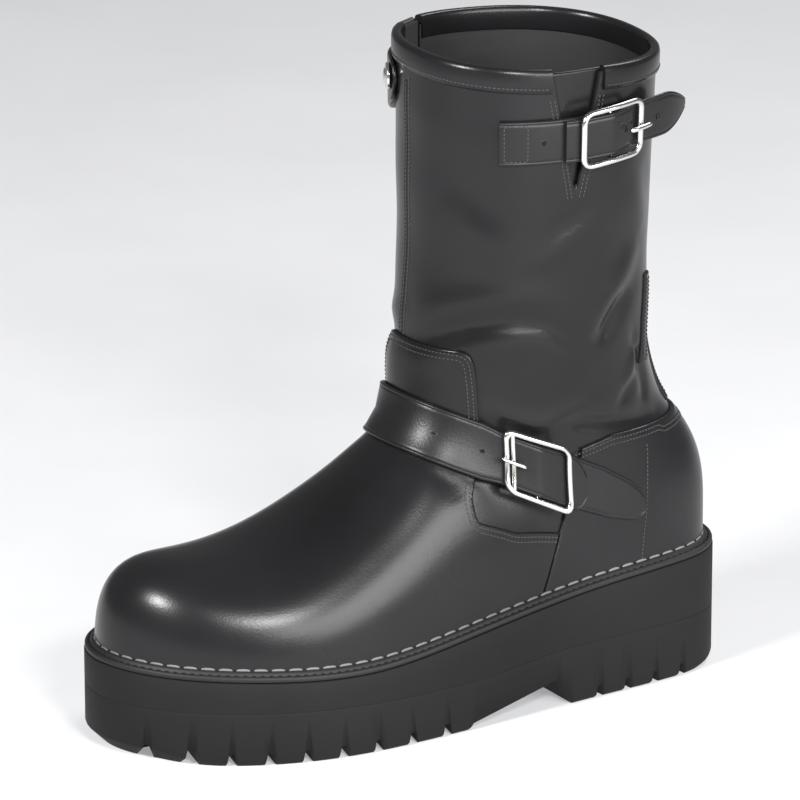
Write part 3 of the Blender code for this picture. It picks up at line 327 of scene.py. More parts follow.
def normals(points):
    """Outward normals of the form, level close to the feather line."""
    step = 0.2 * MM
    f, l, z = points[..., 0], points[..., 1], points[..., 2]
    slope = [form(f + step, l, z) - form(f - step, l, z),
             form(f, l + step, z) - form(f, l - step, z),
             form(f, l, z + step) - form(f, l, z - step)]
    normal = np.stack(slope, axis=-1)
    low = (z < platform(f) + 2 * MM)[..., None]
    normal = np.where(low, normal * [1, 1, 0], normal)
    return normal / np.linalg.norm(normal, axis=-1)[..., None]


def lift(points, distance):
    """Points on the form moved out along its normal."""
    return points + normals(points) * np.asarray(distance, float)[..., None]


def front_profile():
    """The form's front edge over its middle, from the toe's feather line to the collar."""
    start = np.array([AXIS + 20 * MM, HEEL_STACK + 19 * MM])
    angle = np.radians(np.linspace(-14, 84, 400))
    near = np.zeros(angle.shape)
    far = np.full(angle.shape, 330 * MM)
    for _ in range(40):
        middle = (near + far) / 2
        inside = form(start[0] + np.cos(angle) * middle, 0 * angle, start[1] + np.sin(angle) * middle) < 0
        near = np.where(inside, middle, near)
        far = np.where(inside, far, middle)
    points = np.column_stack([start[0] + np.cos(angle) * near, start[1] + np.sin(angle) * near])
    low = platform(FEATHER_TOE) + FIT
    high = HEEL_STACK + SHAFT_RISE + COLLAR_PITCH / 2
    return points[(points[:, 1] >= low) & (points[:, 1] <= high)]


FRONT = front_profile()
FRONT_ALONG = np.concatenate([[0], np.cumsum(np.hypot(*np.diff(FRONT, axis=0).T))])


def upper_point(u, v):
    """A point of the upper's outer face.

    u runs once round from the back over the lateral side, v from the feather line to the collar.
    """
    u, v = np.broadcast_arrays(np.asarray(u, float), np.asarray(v, float))
    front_f = np.interp(v * FRONT_ALONG[-1], FRONT_ALONG, FRONT[:, 0])
    front_z = np.interp(v * FRONT_ALONG[-1], FRONT_ALONG, FRONT[:, 1])
    foot_z = platform(FEATHER_BACK) + FIT
    top_z = HEEL_STACK + SHAFT_RISE - COLLAR_PITCH / 2
    back_z = foot_z + (top_z - foot_z) * table(LOOPS, v)[..., 0]
    back_f = SHAFT_SETBACK + SHAFT_DEPTH * table(SHAFT, (back_z - HEEL_STACK) / SHAFT_RISE)[..., 0]
    half = (front_f - back_f) / 2
    side = np.minimum(0.64 * half, SHAFT_WIDTH / 2)
    turn = 2 * np.pi * u
    start_f = (front_f + back_f) / 2 - (half - side ** 2 / half) * np.cos(turn)
    way_f = -side ** 2 / half * np.cos(turn)
    way_l = side * np.sin(turn)
    size = np.hypot(way_f, way_l)
    low = np.clip(1 - v / 0.14, 0, 1) ** 2
    high = np.clip((v - 0.5) / 0.5, 0, 1) ** 1.5

    def height(f, l):
        share = (np.clip(f, FEATHER_BACK, FEATHER_TOE) - FEATHER_BACK) / (FEATHER_TOE - FEATHER_BACK)
        chord = platform(FEATHER_BACK) * (1 - share) + platform(FEATHER_TOE) * share
        level = back_z + (front_z - back_z) * (f - back_f) / (front_f - back_f)
        return level + low * (platform(f) - chord) - high * COLLAR_DROP * l

    return cast(start_f, 0 * u, way_f / size, way_l / size, height)


def collar_height(f, l):
    """Height of the collar's rim."""
    share = (f - SHAFT_SETBACK) / SHAFT_DEPTH - 0.5
    return HEEL_STACK + SHAFT_RISE + COLLAR_PITCH * share - COLLAR_DROP * l


def around(angle, height, out):
    """A point round the shaft's axis: angle 0 is the front and 90 degrees the lateral side."""
    angle = np.asarray(angle, float)
    return lift(cast(AXIS + 0 * angle, 0 * angle, np.cos(angle), np.sin(angle), height), out)


def side_point(f, z, side, out):
    """A point on the lateral (1) or medial (-1) side at a given f and height.

    out is measured square to the form, but the point moves sideways, so f and z stay.
    """
    f, z = np.broadcast_arrays(np.asarray(f, float), np.asarray(z, float))
    found = cast(f, 0 * f, 0 * f, side + 0 * f, lambda ff, ll: z)
    found[..., 1] += side * np.asarray(out, float) / np.abs(normals(found)[..., 1])
    return found


def world(points):
    """(f, l, z) as (x, y, z)."""
    points = np.asarray(points, float)
    return np.stack([points[..., 1], SOLE_LENGTH / 2 - points[..., 0], points[..., 2]], axis=-1)


def edge_bevel(f):
    """Size of the bevel under the sole's edge."""
    toe = np.clip((f / SOLE_LENGTH - 0.86) / 0.10, 0, 1)
    heel = np.clip((0.10 - f / SOLE_LENGTH) / 0.08, 0, 1)
    return EDGE_BEVEL + (TOE_BEVEL - EDGE_BEVEL) * toe ** 2 + (HEEL_BEVEL - EDGE_BEVEL) * heel ** 2


def parting(f):
    """Height of the line between outsole and midsole."""
    heel = np.clip((ARCH_END - f) / (ARCH_END - HEEL_BREAST), 0, 1)
    heel = heel * heel * (3 - 2 * heel)
    toe = np.clip(f / SOLE_LENGTH - 0.6, 0, 1)
    return OUTSOLE_FORE + (OUTSOLE_HEEL - OUTSOLE_FORE) * heel + 6 * MM * toe


BOX_FACES = [(0, 1, 3, 2), (4, 6, 7, 5), (0, 2, 6, 4), (1, 5, 7, 3), (0, 4, 5, 1), (2, 3, 7, 6)]


class Belt:
    """A strap's path round the shaft: s along it from the buckle toward the heel, w across it."""

    def __init__(self, height, slope, buckle_f):
        self.height = height
        self.rise = math.sqrt(1 + slope ** 2)
        self.angles = np.radians(np.linspace(-120, 240, 361))
        path = around(self.angles, height, np.zeros(361))
        along = np.concatenate([[0], np.cumsum(np.linalg.norm(np.diff(path, axis=0), axis=1))])
        lateral = (path[:, 1] > 0) & (self.angles > 0)
        at_buckle = np.interp(-buckle_f, -path[lateral, 0], along[lateral])
        self.along = along - at_buckle

    def angle(self, s):
        return np.interp(s, self.along, self.angles)

    def point(self, s, w, out):
        s, w, out = np.broadcast_arrays(np.asarray(s, float), np.asarray(w, float), np.asarray(out, float))

        def level(f, l):
            return self.height(f, l) + w * self.rise

        return around(self.angle(s), level, out)


def instep_level(f, l):
    return INSTEP_STRAP_HEIGHT + INSTEP_STRAP_SLOPE * (f - INSTEP_BUCKLE_PLACE)


def collar_level(f, l):
    rise = np.maximum(COLLAR_BUCKLE_PLACE + 15 * MM - f, 0)
    return COLLAR_STRAP_HEIGHT + 0.10 * rise


# Sheets of leather over the form
EDGE_ROLL = 0.9 * MM               # radius of the worn edge of each panel
DEGREE = 0.908 * MM                # length of one degree round the ankle, for the folds
NO_FOLD = 13 * MM                  # under the collar, where the folds have faded out
STITCH_PITCH = 1.9 * MM
STITCH_LENGTH = 1.45 * MM
STITCH_RADIUS = 0.33 * MM
# Place along a stitch, size and rise
STITCH_PROFILE = [(-0.5, 0.35, -0.3), (-0.32, 0.9, 0.15), (0.0, 1.0, 0.35), (0.32, 0.9, 0.15),
                  (0.5, 0.35, -0.3)]
WELT_PROFILE = [(-0.5, 0.3, -0.6), (-0.42, 0.8, -0.1), (-0.2, 1, 0.15), (0.2, 1, 0.15), (0.42, 0.8, -0.1),
                (0.5, 0.3, -0.6)]

# Folds of the leather: depth and half width in mm (troughs negative), then points (angle, height in mm)
FOLDS = [
    (-1.8, 4.6, [(-8, 167), (6, 169), (30, 178), (57, 181), (78, 175), (100, 165), (113, 170)]),
    (0.9, 6.5, [(0, 180), (30, 189), (57, 192), (80, 187), (98, 178)]),
    (0.5, 5.5, [(10, 160), (36, 167), (60, 170), (84, 163), (100, 154)]),
    (-2.6, 5.0, [(106, 163), (114, 172), (122, 181), (130, 187)]),
    (1.7, 6.0, [(103, 181), (112, 189), (122, 197), (131, 210)]),
    (-1.7, 3.0, [(134, 167), (138, 159), (142, 150), (145, 140), (143, 129)]),
    (1.3, 3.0, [(141, 163), (137, 154), (134, 147), (130, 139)]),
    (-1.3, 3.2, [(136, 144), (132, 138), (126, 131)]),
    (-2.0, 3.4, [(86, 130), (104, 127.5), (130, 125), (150, 123)]),
    (1.2, 4.5, [(36, 142), (52, 136), (69, 131), (86, 134), (108, 137), (124, 135)]),
    (-0.7, 2.4, [(20, 124), (27, 116), (32, 108), (36, 101)]),
    (0.5, 2.4, [(24, 127), (31, 119), (36, 111), (40, 103)]),
    (-1.8, 5.0, [(-8, 167), (-24, 165), (-40, 158), (-56, 152)]),
    (1.1, 5.5, [(-6, 179), (-24, 176), (-42, 170), (-58, 166)]),
    (-1.8, 4.2, [(-112, 160), (-124, 168), (-136, 176)]),
    (1.2, 5.0, [(-110, 172), (-122, 180), (-134, 190)]),
    (-1.6, 3.4, [(-134, 160), (-141, 148), (-145, 136), (-140, 128)]),
    (-1.5, 3.4, [(-112, 131), (-128, 128), (-150, 125)]),
    (0.8, 5.0, [(60, 205), (84, 216), (104, 222)]),
    (-0.7, 5.0, [(64, 214), (86, 226), (108, 234)]),
    (0.7, 9.0, [(20, 238), (34, 222), (50, 208)]),
    (-0.6, 8.0, [(34, 246), (46, 230), (62, 222)]),
    (0.8, 8.0, [(120, 238), (128, 226), (140, 212)]),
    (-0.8, 7.0, [(134, 246), (142, 232), (150, 218)]),
]


def strap_gap(f, z):
    """How far a point stands off the edges of the instep strap, negative under it."""
    rise = z - instep_level(f, 0)
    return np.abs(rise) / math.sqrt(1 + INSTEP_STRAP_SLOPE ** 2) - INSTEP_STRAP_WIDTH / 2


def soft_step(value):
    value = np.clip(value, 0, 1)
    return value * value * (3 - 2 * value)


def relief(points):
    """Height of the folds over the form at points on it."""
    f, l, z = points[..., 0], points[..., 1], points[..., 2]
    turn = np.degrees(np.arctan2(l, f - AXIS))
    s = turn * DEGREE
    total = np.zeros(f.shape)
    for depth, width, line in FOLDS:
        line = np.array([(angle * DEGREE, height * MM) for angle, height in line])
        along = np.concatenate([[0], np.cumsum(np.hypot(*np.diff(line, axis=0).T))])
        share = np.linspace(0, 1, 40)
        path = spline(along, line, share * along[-1])
        near = np.full(f.shape, 1.0)
        where = np.zeros(f.shape)
        for place, (ps, pt) in zip(share, path):
            distance = np.hypot(s - ps, z - pt)
            where = np.where(distance < near, place, where)
            near = np.minimum(near, distance)
        ends = np.sin(np.pi * np.clip(where, 0.03, 0.97)) ** 0.7
        total += depth * MM * ends * np.exp(-(near / (width * MM)) ** 2)
    waves = np.sin(s * 92 + z * 61) * np.sin(z * 83 - s * 37 + 1.0)
    total += 0.35 * MM * waves * soft_step((z - 120 * MM) / (30 * MM))
    total *= soft_step((strap_gap(f, z) - 0.5 * MM) / (5 * MM))
    total *= soft_step((collar_height(f, l) - NO_FOLD - z) / (18 * MM))
    zip_gap = np.where(l < 0, np.abs(f - ZIP_PLACE) - ZIP_SLOT / 2, 1.0)
    return total * soft_step((zip_gap - 2 * MM) / (9 * MM))


def skin(points, distance):
    """Points on the form moved out past the folds."""
    return points + normals(points) * (np.asarray(distance, float) + relief(points))[..., None]


def settle(points):
    """Points close to the form brought onto it."""
    for _ in range(4):
        points = points - normals(points) * form(points[..., 0], points[..., 1], points[..., 2])[..., None]
    return points


def edge_distance(points, line):
    """Shortest distance from each point to a line of points."""
    near = np.full(points.shape[:-1], 1.0)
    line = np.asarray(line, float)
    for a, b in zip(line[:-1], line[1:]):
        way = b - a
        share = np.clip(((points - a) @ way) / max(way @ way, 1e-12), 0, 1)
        near = np.minimum(near, np.linalg.norm(points - a - share[..., None] * way, axis=-1))
    return near


def grid_faces(rows, columns, closed):
    """Triangles of a grid, their diagonals turned in a checker pattern."""
    last = columns if closed else columns - 1
    r, c = np.meshgrid(np.arange(rows - 1), np.arange(last), indexing="ij")
    n = (c + 1) % columns
    low, low_next = r * columns + c, r * columns + n
    high, high_next = low + columns, low_next + columns
    odd = ((r + c) % 2 == 1)[..., None]
    one = np.where(odd, np.stack([low, low_next, high_next], -1), np.stack([low, low_next, high], -1))
    two = np.where(odd, np.stack([low, high_next, high], -1), np.stack([low_next, high_next, high], -1))
    return np.concatenate([one.reshape(-1, 3), two.reshape(-1, 3)])


def split(values, faces, level, drop):
    """Triangles divided where the last value of their corners crosses a level."""
    height = values[:, -1] - level
    above = height >= 0
    count = above[faces].sum(axis=1)
    whole = faces[count == 3] if drop else faces[(count == 3) | (count == 0)]
    mixed = faces[(count == 1) | (count == 2)]
    if not len(mixed):
        return values, whole
    single = np.where(count[(count == 1) | (count == 2)] == 1, 1, 0).astype(bool)
    lone = np.argmax(above[mixed] == single[:, None], axis=1)
    pick = np.arange(len(mixed))
    a, b, c = mixed[pick, lone], mixed[pick, (lone + 1) % 3], mixed[pick, (lone + 2) % 3]
    pairs = np.sort(np.concatenate([np.stack([a, b], -1), np.stack([a, c], -1)]), axis=1)
    edges, place = np.unique(pairs, axis=0, return_inverse=True)
    place = place.reshape(-1)
    first, second = height[edges[:, 0]], height[edges[:, 1]]
    share = np.clip(first / (first - second), 0.03, 0.97)[:, None]
    made = values[edges[:, 0]] * (1 - share) + values[edges[:, 1]] * share
    made[:, -1] = level
    ab, ac = place[:len(mixed)] + len(values), place[len(mixed):] + len(values)
    tip = np.stack([a, ab, ac], -1)
    rest = np.concatenate([np.stack([ab, b, c], -1), np.stack([ab, c, ac], -1)])
    if drop:
        parts = [whole, tip[single], rest[np.tile(~single, 2)]]
    else:
        parts = [whole, tip, rest]
    return np.concatenate([values, made]), np.concatenate(parts)


def link(name, mesh, looks, smooth=None):
    for look in looks:
        mesh.materials.append(look)
    mesh.shade_smooth()
    if smooth is not None:
        mesh.set_sharp_from_angle(angle=math.radians(smooth))
    made = bpy.data.objects.new(name, mesh)
    bpy.context.scene.collection.objects.link(made)
    return made


def piece(made, slot, *nodes):
    """Give a piece its body and hide the CAD nodes that it stands for; the slot argument is not used."""
    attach(made, "root")
    for node in nodes:
        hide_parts(node)
    return made


def sheet(name, base, fields, inner, outer, looks, closed=False, folds=True, roll=EDGE_ROLL):
    """A panel over a grid of points on the form, trimmed where a field turns negative."""
    rows, columns = base.shape[:2]
    gap = np.full(base.shape[:2], 1.0)
    for field in fields:
        gap = np.minimum(gap, field)
    out = normals(base)
    for _ in range(3):
        if closed:
            out = (np.roll(out, 1, axis=1) + 2 * out + np.roll(out, -1, axis=1)) / 4
        else:
            out[:, 1:-1] = (out[:, :-2] + 2 * out[:, 1:-1] + out[:, 2:]) / 4
        out[1:-1] = (out[:-2] + 2 * out[1:-1] + out[2:]) / 4
    values = np.concatenate([base, out, gap[..., None]], axis=-1).reshape(-1, 7)
    faces = grid_faces(rows, columns, closed)
    for level in (roll, roll * 0.4):
        values, faces = split(values, faces, level, False)
    values, faces = split(values, faces, 0.0, True)
    used, faces = np.unique(faces, return_inverse=True)
    faces = faces.reshape(-1, 3)
    values = values[used]
    gap = np.clip(values[:, 6] / roll, 0, 1)
    round_off = (1 - np.sqrt(1 - (1 - gap) ** 2)) * min(roll, outer - inner)
    fold = relief(values[:, :3]) if folds else np.zeros(len(values))
    normal = values[:, 3:6] / np.linalg.norm(values[:, 3:6], axis=1)[:, None]
    high = values[:, :3] + normal * (outer - round_off + fold)[:, None]
    low = values[:, :3] + normal * (inner + fold)[:, None]
    count = len(values)
    half_edges = np.concatenate([faces[:, [0, 1]], faces[:, [1, 2]], faces[:, [2, 0]]])
    known = set(map(tuple, half_edges.tolist()))
    rim = np.array([e for e in half_edges.tolist() if (e[1], e[0]) not in known])
    walls = np.concatenate([np.stack([rim[:, 1], rim[:, 0], rim[:, 0] + count], -1),
                            np.stack([rim[:, 1], rim[:, 0] + count, rim[:, 1] + count], -1)])
    every = np.concatenate([faces, faces[:, ::-1] + count, walls])
    mesh = bpy.data.meshes.new(name)
    mesh.from_pydata(world(np.concatenate([high, low])).tolist(), [], every.tolist())
    if signed_volume(mesh) < 0:
        mesh.flip_normals()
    if len(looks) > 1:
        index = np.zeros(len(every), dtype=np.int32)
        index[len(faces):2 * len(faces)] = 1
        mesh.polygons.foreach_set("material_index", index)
    return link(name, mesh, looks, 50)


def signed_volume(mesh):
    points = np.empty(len(mesh.vertices) * 3)
    mesh.vertices.foreach_get("co", points)
    points = points.reshape(-1, 3)
    mesh.calc_loop_triangles()
    corners = np.empty(len(mesh.loop_triangles) * 3, dtype=np.int32)
    mesh.loop_triangles.foreach_get("vertices", corners)
    a, b, c = points[corners.reshape(-1, 3)].transpose(1, 0, 2)
    return (a * np.cross(b, c)).sum()


def grid_solid(name, points, faces, looks, smooth=40):
    mesh = bpy.data.meshes.new(name)
    mesh.from_pydata(np.asarray(points).tolist(), [], [list(map(int, face)) for face in faces])
    mesh.validate()
    work = bmesh.new()
    work.from_mesh(mesh)
    bmesh.ops.recalc_face_normals(work, faces=work.faces)
    if work.calc_volume(signed=True) < 0:
        bmesh.ops.reverse_faces(work, faces=work.faces)
    work.to_mesh(mesh)
    work.free()
    return link(name, mesh, looks, smooth)


def ring_faces(rows, count, closed=False, start=0):
    """Quads between neighbouring rings of points, numbered from start."""
    faces = []
    for r in range(rows if closed else rows - 1):
        low, high = start + r * count, start + (r + 1) % rows * count
        for c in range(count):
            n = (c + 1) % count
            faces.append([low + c, low + n, high + n, high + c])
    return faces


def tube(name, sections, looks, closed=True, smooth=50):
    """A bar through rings of world points, closed into a loop or with flat ends."""
    sections = np.asarray(sections)
    rows, count = sections.shape[:2]
    faces = ring_faces(rows, count, closed)
    if not closed:
        faces.append(list(range(count)))
        faces.append(list(range((rows - 1) * count, rows * count)))
    return grid_solid(name, sections.reshape(-1, 3), faces, looks, smooth)


def resample(line, step):
    """Points along a line at even steps."""
    along = np.concatenate([[0], np.cumsum(np.linalg.norm(np.diff(line, axis=0), axis=1))])
    count = max(int(round(along[-1] / step)), 2)
    place = np.linspace(0, along[-1], count + 1)
    return np.stack([np.interp(place, along, line[:, k]) for k in range(3)], axis=-1)


def add_stitch(points, faces, middle, way, side, up, length, radius, profile, sides):
    """One stitch as a short bar: its profile gives place along it, size and rise."""
    start = len(points)
    for along, size, rise in profile:
        centre = middle + way * along * length + up * rise * radius
        for angle in 2 * math.pi * np.arange(sides) / sides:
            points.append(centre + radius * size * (side * math.cos(angle) + up * math.sin(angle)))
    faces += ring_faces(len(profile), sides, start=start)
    faces.append(list(range(start, start + sides)))
    faces.append(list(range(len(points) - sides, len(points))))


def stitches(name, lines, distance, look, folds=True):
    """Rows of sewn stitches over lines of points on the form."""
    points, faces = [], []
    for line in lines:
        places = resample(settle(np.asarray(line)), STITCH_PITCH)
        top = skin(places, distance) if folds else lift(places, np.full(len(places), distance))
        up = normals(places)
        for k in range(len(places) - 1):
            middle = (top[k] + top[k + 1]) / 2
            way = top[k + 1] - top[k]
            way /= max(np.linalg.norm(way), 1e-9)
            add_stitch(points, faces, middle, way, np.cross(way, up[k]), up[k], STITCH_LENGTH, STITCH_RADIUS,
                       STITCH_PROFILE, 6)
    return grid_solid(name, world(points), faces, [look], 60)


def beside(line, distance):
    """A line on the form moved sideways along it, to the left of its own way for a positive distance."""
    line = settle(np.asarray(line))
    way = np.gradient(line, axis=0)
    way /= np.linalg.norm(way, axis=1)[:, None]
    left = np.cross(normals(line), way)
    return settle(line + left * distance)


# Upper and its panels

def gusset_field(points):
    """Positive outside the notch of the gusset."""
    rim = float(collar_height(np.array(GUSSET_PLACE), SHAFT_WIDTH / 2))
    over = 20 * MM
    half = GUSSET_WIDTH / 2 * (1 + over / GUSSET_DEPTH)
    apex = (GUSSET_PLACE, rim - GUSSET_DEPTH)
    line = [(GUSSET_PLACE - half, rim + over), apex, (GUSSET_PLACE + half, rim + over)]
    rise = points[..., 2] - apex[1]
    inside = np.abs(points[..., 0] - GUSSET_PLACE) < rise * half / (GUSSET_DEPTH + over)
    distance = np.where(inside, -1, 1) * edge_distance(points[..., [0, 2]], line)
    return np.where(points[..., 1] > 0, distance, 1.0)


def zip_field(points):
    """Positive outside the zip's slot."""
    aside = np.abs(points[..., 0] - ZIP_PLACE) - ZIP_SLOT / 2
    below = ZIP_BOTTOM - points[..., 2]
    inside = np.maximum(aside, below)
    outside = np.hypot(np.maximum(aside, 0), np.maximum(below, 0))
    distance = np.where((aside > 0) & (below > 0), outside, inside)
    return np.where(points[..., 1] < 0, distance, 1.0)


ZIP_BOTTOM = float(platform(np.array(ZIP_PLACE))) + WELT_HEIGHT + ZIP_FOOT


def vamp_edge_line():
    """The upper edge of the vamp as points on the form, its corners rounded."""
    rows = np.array(VAMP_EDGE)
    place = np.linspace(0, len(rows) - 1, 26 * (len(rows) - 1) + 1)
    angle = np.interp(place, np.arange(len(rows)), rows[:, 0])
    share = np.interp(place, np.arange(len(rows)), rows[:, 1])
    height = HEEL_STACK + TONGUE_RISE * share
    line = around(np.radians(angle), lambda f, l: height, 0 * angle)
    line = resample(line, 1 * MM)
    for _ in range(6):
        line[1:-1] = (line[:-2] + 2 * line[1:-1] + line[2:]) / 4
    return settle(line)


def counter_line():
    """The counter's upper edge as f and z, from the back to the seam."""
    edge = HEEL_STACK + COUNTER_RISE
    f = np.linspace(6 * MM, 92 * MM, 60)
    z = np.interp(f, [-20 * MM, 20 * MM, 70 * MM, HEEL_BREAST], [edge - 5 * MM, edge, edge, edge - 5 * MM])
    return f, z


def even_heel(base):
    """The grid with stray points at the back of the heel put between their neighbours."""
    for axis in (0, 1):
        middle = (np.roll(base, 1, axis=axis) + np.roll(base, -1, axis=axis)) / 2
        stray = (base[..., 0] < 8 * MM) & (middle[..., 0] - base[..., 0] > 0.02 * MM)
        stray[[0, -1]] = False
        base = np.where(stray[..., None], middle, base)
    return base


def make_upper(leather, lining):
    u = np.arange(220) / 220
    v = np.interp(np.linspace(0, 1, 150), *np.array(ROW_SPACING).T)
    base = even_heel(upper_point(u[None, :], v[:, None]))
    made = sheet("upper_leather", base, [gusset_field(base), zip_field(base)], -UPPER_WALL, 0.0,
                 [leather, lining], closed=True)
    piece(made, "leather", "upper")


def overlay_grid(first, last, columns, rows, top):
    """A grid over the upper from the welt up, between two shares of the way round."""
    u = np.linspace(first, last, columns)
    spread = np.interp(np.linspace(0, 1, rows), *np.array(ROW_SPACING).T) * top
    z = np.linspace(0.005, 0.1, 120)
    points = upper_point(u[:, None], z[None, :])
    past = points[..., 2] > platform(points[..., 0]) + WELT_HEIGHT - 1.5 * MM
    low = z[np.argmax(past, axis=1)]
    return even_heel(upper_point(u[None, :], low + (1 - low / top) * spread[:, None]))


def make_vamp(leather, thread, edge):
    base = overlay_grid(SEAM_COLUMNS[0] / COLUMNS, 1 - SEAM_COLUMNS[0] / COLUMNS, 190, 120, 0.80)
    turn = np.degrees(np.arctan2(base[..., 1], base[..., 0] - AXIS))
    rows = np.array(VAMP_EDGE)
    below = base[..., 2] < HEEL_STACK + TONGUE_RISE * np.interp(turn, rows[:, 0], rows[:, 1])
    rim = np.where(below, 1, -1) * edge_distance(base, edge)
    seam = np.array(SIDE_SEAM) * MM
    front = base[..., 0] - np.interp(base[..., 2], seam[:, 1], seam[:, 0]) - 0.15 * MM
    past = np.minimum(ZIP_PLACE + ZIP_SLOT / 2 - base[..., 0], base[..., 2] - ZIP_BOTTOM)
    medial = np.where(base[..., 1] < 0, -past, 1.0)
    made = sheet("vamp_leather", base, [rim, front, medial], 0.1 * MM, OVERLAY_FIT + OVERLAY, [leather])
    piece(made, "leather", "vamp")
    inside = edge[(edge[:, 0] > 112 * MM) | ((edge[:, 1] > 0) & (edge[:, 0] > 100 * MM))]
    inside = inside[(inside[:, 1] > 0) | (inside[:, 0] > 143 * MM)]
    rows = [beside(inside, -2.1 * MM), beside(inside, -4.3 * MM)]
    height = OVERLAY_FIT + OVERLAY
    piece(stitches("vamp_stitches", rows, height, thread), "leather")


def make_counter(leather, thread):
    base = overlay_grid(-SEAM_COLUMNS[1] / COLUMNS, SEAM_COLUMNS[1] / COLUMNS, 120, 80, 0.68)
    f, z = counter_line()
    rim = (np.interp(base[..., 0], f, z) - base[..., 2]) * 0.98
    seam = np.array(SIDE_SEAM) * MM
    front = np.interp(base[..., 2], seam[:, 1], seam[:, 0]) - 0.15 * MM - base[..., 0]
    made = sheet("counter_leather", base, [rim, front], 0.1 * MM, OVERLAY_FIT + OVERLAY, [leather])
    piece(made, "leather", "counter")
    rows = []
    for side in (1, -1):
        back = around(np.radians(np.linspace(180, 150, 16)) * side, lambda ff, ll: z[0] - 2.1 * MM + 0 * ff,
                      np.zeros(16))
        ahead = f > back[-1, 0] + 1.5 * MM
        run = side_point(f[ahead], z[ahead] - 2.1 * MM, side, np.zeros(ahead.sum()))
        rows.append(np.vstack([back, run]))
        rows.append(np.vstack([back, run]) - [0, 0, 2.2 * MM])
    height = OVERLAY_FIT + OVERLAY
    piece(stitches("counter_stitches", rows, height, thread), "leather")
    seams = []
    for side in (1, -1):
        z = np.linspace(112 * MM, 55 * MM, 40)
        f = np.interp(z, [59.5 * MM, 108 * MM], [54 * MM, 50 * MM])
        seams.append(side_point(f, z, side, np.zeros(40)))
    piece(stitches("counter_seam_stitches", seams, height, thread), "leather")


def turned_strip(name, angles, ups, height, inner, outer, looks, roll=EDGE_ROLL, fields=None, folds=True):
    """A panel round the shaft between two angles, over levels measured from height(f, l)."""
    turn, up = np.meshgrid(np.asarray(angles), np.asarray(ups))
    base = around(turn, lambda f, l: height(f, l) + up, np.zeros(turn.shape))
    if fields is None:
        radius = 50 * MM
        across = np.minimum(turn - turn.min(), turn.max() - turn) * radius
        along = np.minimum(up - up.min(), up.max() - up)
        fields = [across, along]
    return sheet(name, base, fields, inner, outer, looks, folds=folds, roll=roll)


def floor_height(f, l):
    return 0 * f


def upright_lines(degrees, ups, height):
    """Lines up the shaft at some angles, over levels measured from height(f, l)."""
    lines = []
    for angle in degrees:
        turn = np.full(len(ups), math.radians(angle))
        lines.append(around(turn, lambda f, l: height(f, l) + ups, np.zeros(len(ups))))
    return lines


def make_collar_bands(leather, thread):
    """The folded band at the top edge, open at the zip and at the gusset."""
    level = HEEL_STACK + SHAFT_RISE - BAND_HEIGHT / 2

    def bearing(f, side):
        place = side_point(f, level, side, 0.0)
        return math.atan2(place[1], place[0] - AXIS)

    gusset = [bearing(GUSSET_PLACE + way * (GUSSET_WIDTH / 2 + 1 * MM), 1) for way in (1, -1)]
    slot = [bearing(ZIP_PLACE + way * (ZIP_SLOT / 2 + 1 * MM), -1) for way in (1, -1)]
    spans = {"collar_band_front": (slot[0], gusset[0], 90),
             "collar_band_back": (gusset[1], slot[1] + 2 * math.pi, 130)}
    section = [(-10.5, 0.2), (-10.4, 1.0), (-9.8, 1.4), (-6, 1.55), (-2, 1.5), (-0.4, 1.1), (0.3, 0.2),
               (0.45, -1.1), (0.3, -2.3), (-0.4, -3.0), (-2, -3.2), (-9.6, -3.2), (-10.2, -2.8), (-10.3, -2.3)]
    rows = []
    for name, (start, end, count) in spans.items():
        angles = np.linspace(start, end, count)
        rings = []
        for up, out in section:
            rings.append(around(angles, lambda f, l: collar_height(f, l) + up * MM, np.full(count, out * MM)))
        made = tube(name + "_leather", world(np.stack(rings, axis=1)), [leather], closed=False, smooth=60)
        piece(made, "leather", name)
        inside = np.linspace(start + 0.03, end - 0.03, count)
        rows.append(around(inside, lambda f, l: collar_height(f, l) - 8.4 * MM, np.zeros(count)))
    piece(stitches("band_stitches", rows, 1.45 * MM, thread, folds=False), "leather")


def make_gusset(leather, thread):
    """The panel behind the notch in the shaft."""
    rows, columns = 50, 24
    share = np.linspace(0, 1, rows)[:, None]
    rim = float(collar_height(np.array(GUSSET_PLACE), SHAFT_WIDTH / 2))
    z = rim - GUSSET_DEPTH - 6 * MM + (GUSSET_DEPTH + 4.5 * MM) * share + np.zeros((rows, columns))
    half = GUSSET_WIDTH / 2 * share + 5 * MM
    across = np.linspace(-1, 1, columns)[None, :]
    f = GUSSET_PLACE + across * half
    base = side_point(f, z, 1, np.zeros(f.shape))
    field = np.minimum((1 - np.abs(across)) * half, (1 - share) * GUSSET_DEPTH + 0 * f)
    made = sheet("gusset_leather", base, [field], -UPPER_WALL - CURVE_FIT - 1.3 * MM, -UPPER_WALL - CURVE_FIT,
                 [leather], folds=False)
    piece(made, "leather", "gusset")
    lines = []
    for way in (1, -1):
        z = np.linspace(rim - GUSSET_DEPTH - 2 * MM, rim - 13 * MM, 40)
        edge = GUSSET_WIDTH / 2 * (z - rim + GUSSET_DEPTH) / GUSSET_DEPTH + 2.2 * MM
        for gap in (0, 2.1 * MM):
            aside = np.maximum(edge, 1.2 * MM) + gap
            lines.append(side_point(GUSSET_PLACE + way * aside, z, 1, np.zeros(40)))
    piece(stitches("gusset_stitches", lines, 0.0, thread), "leather")


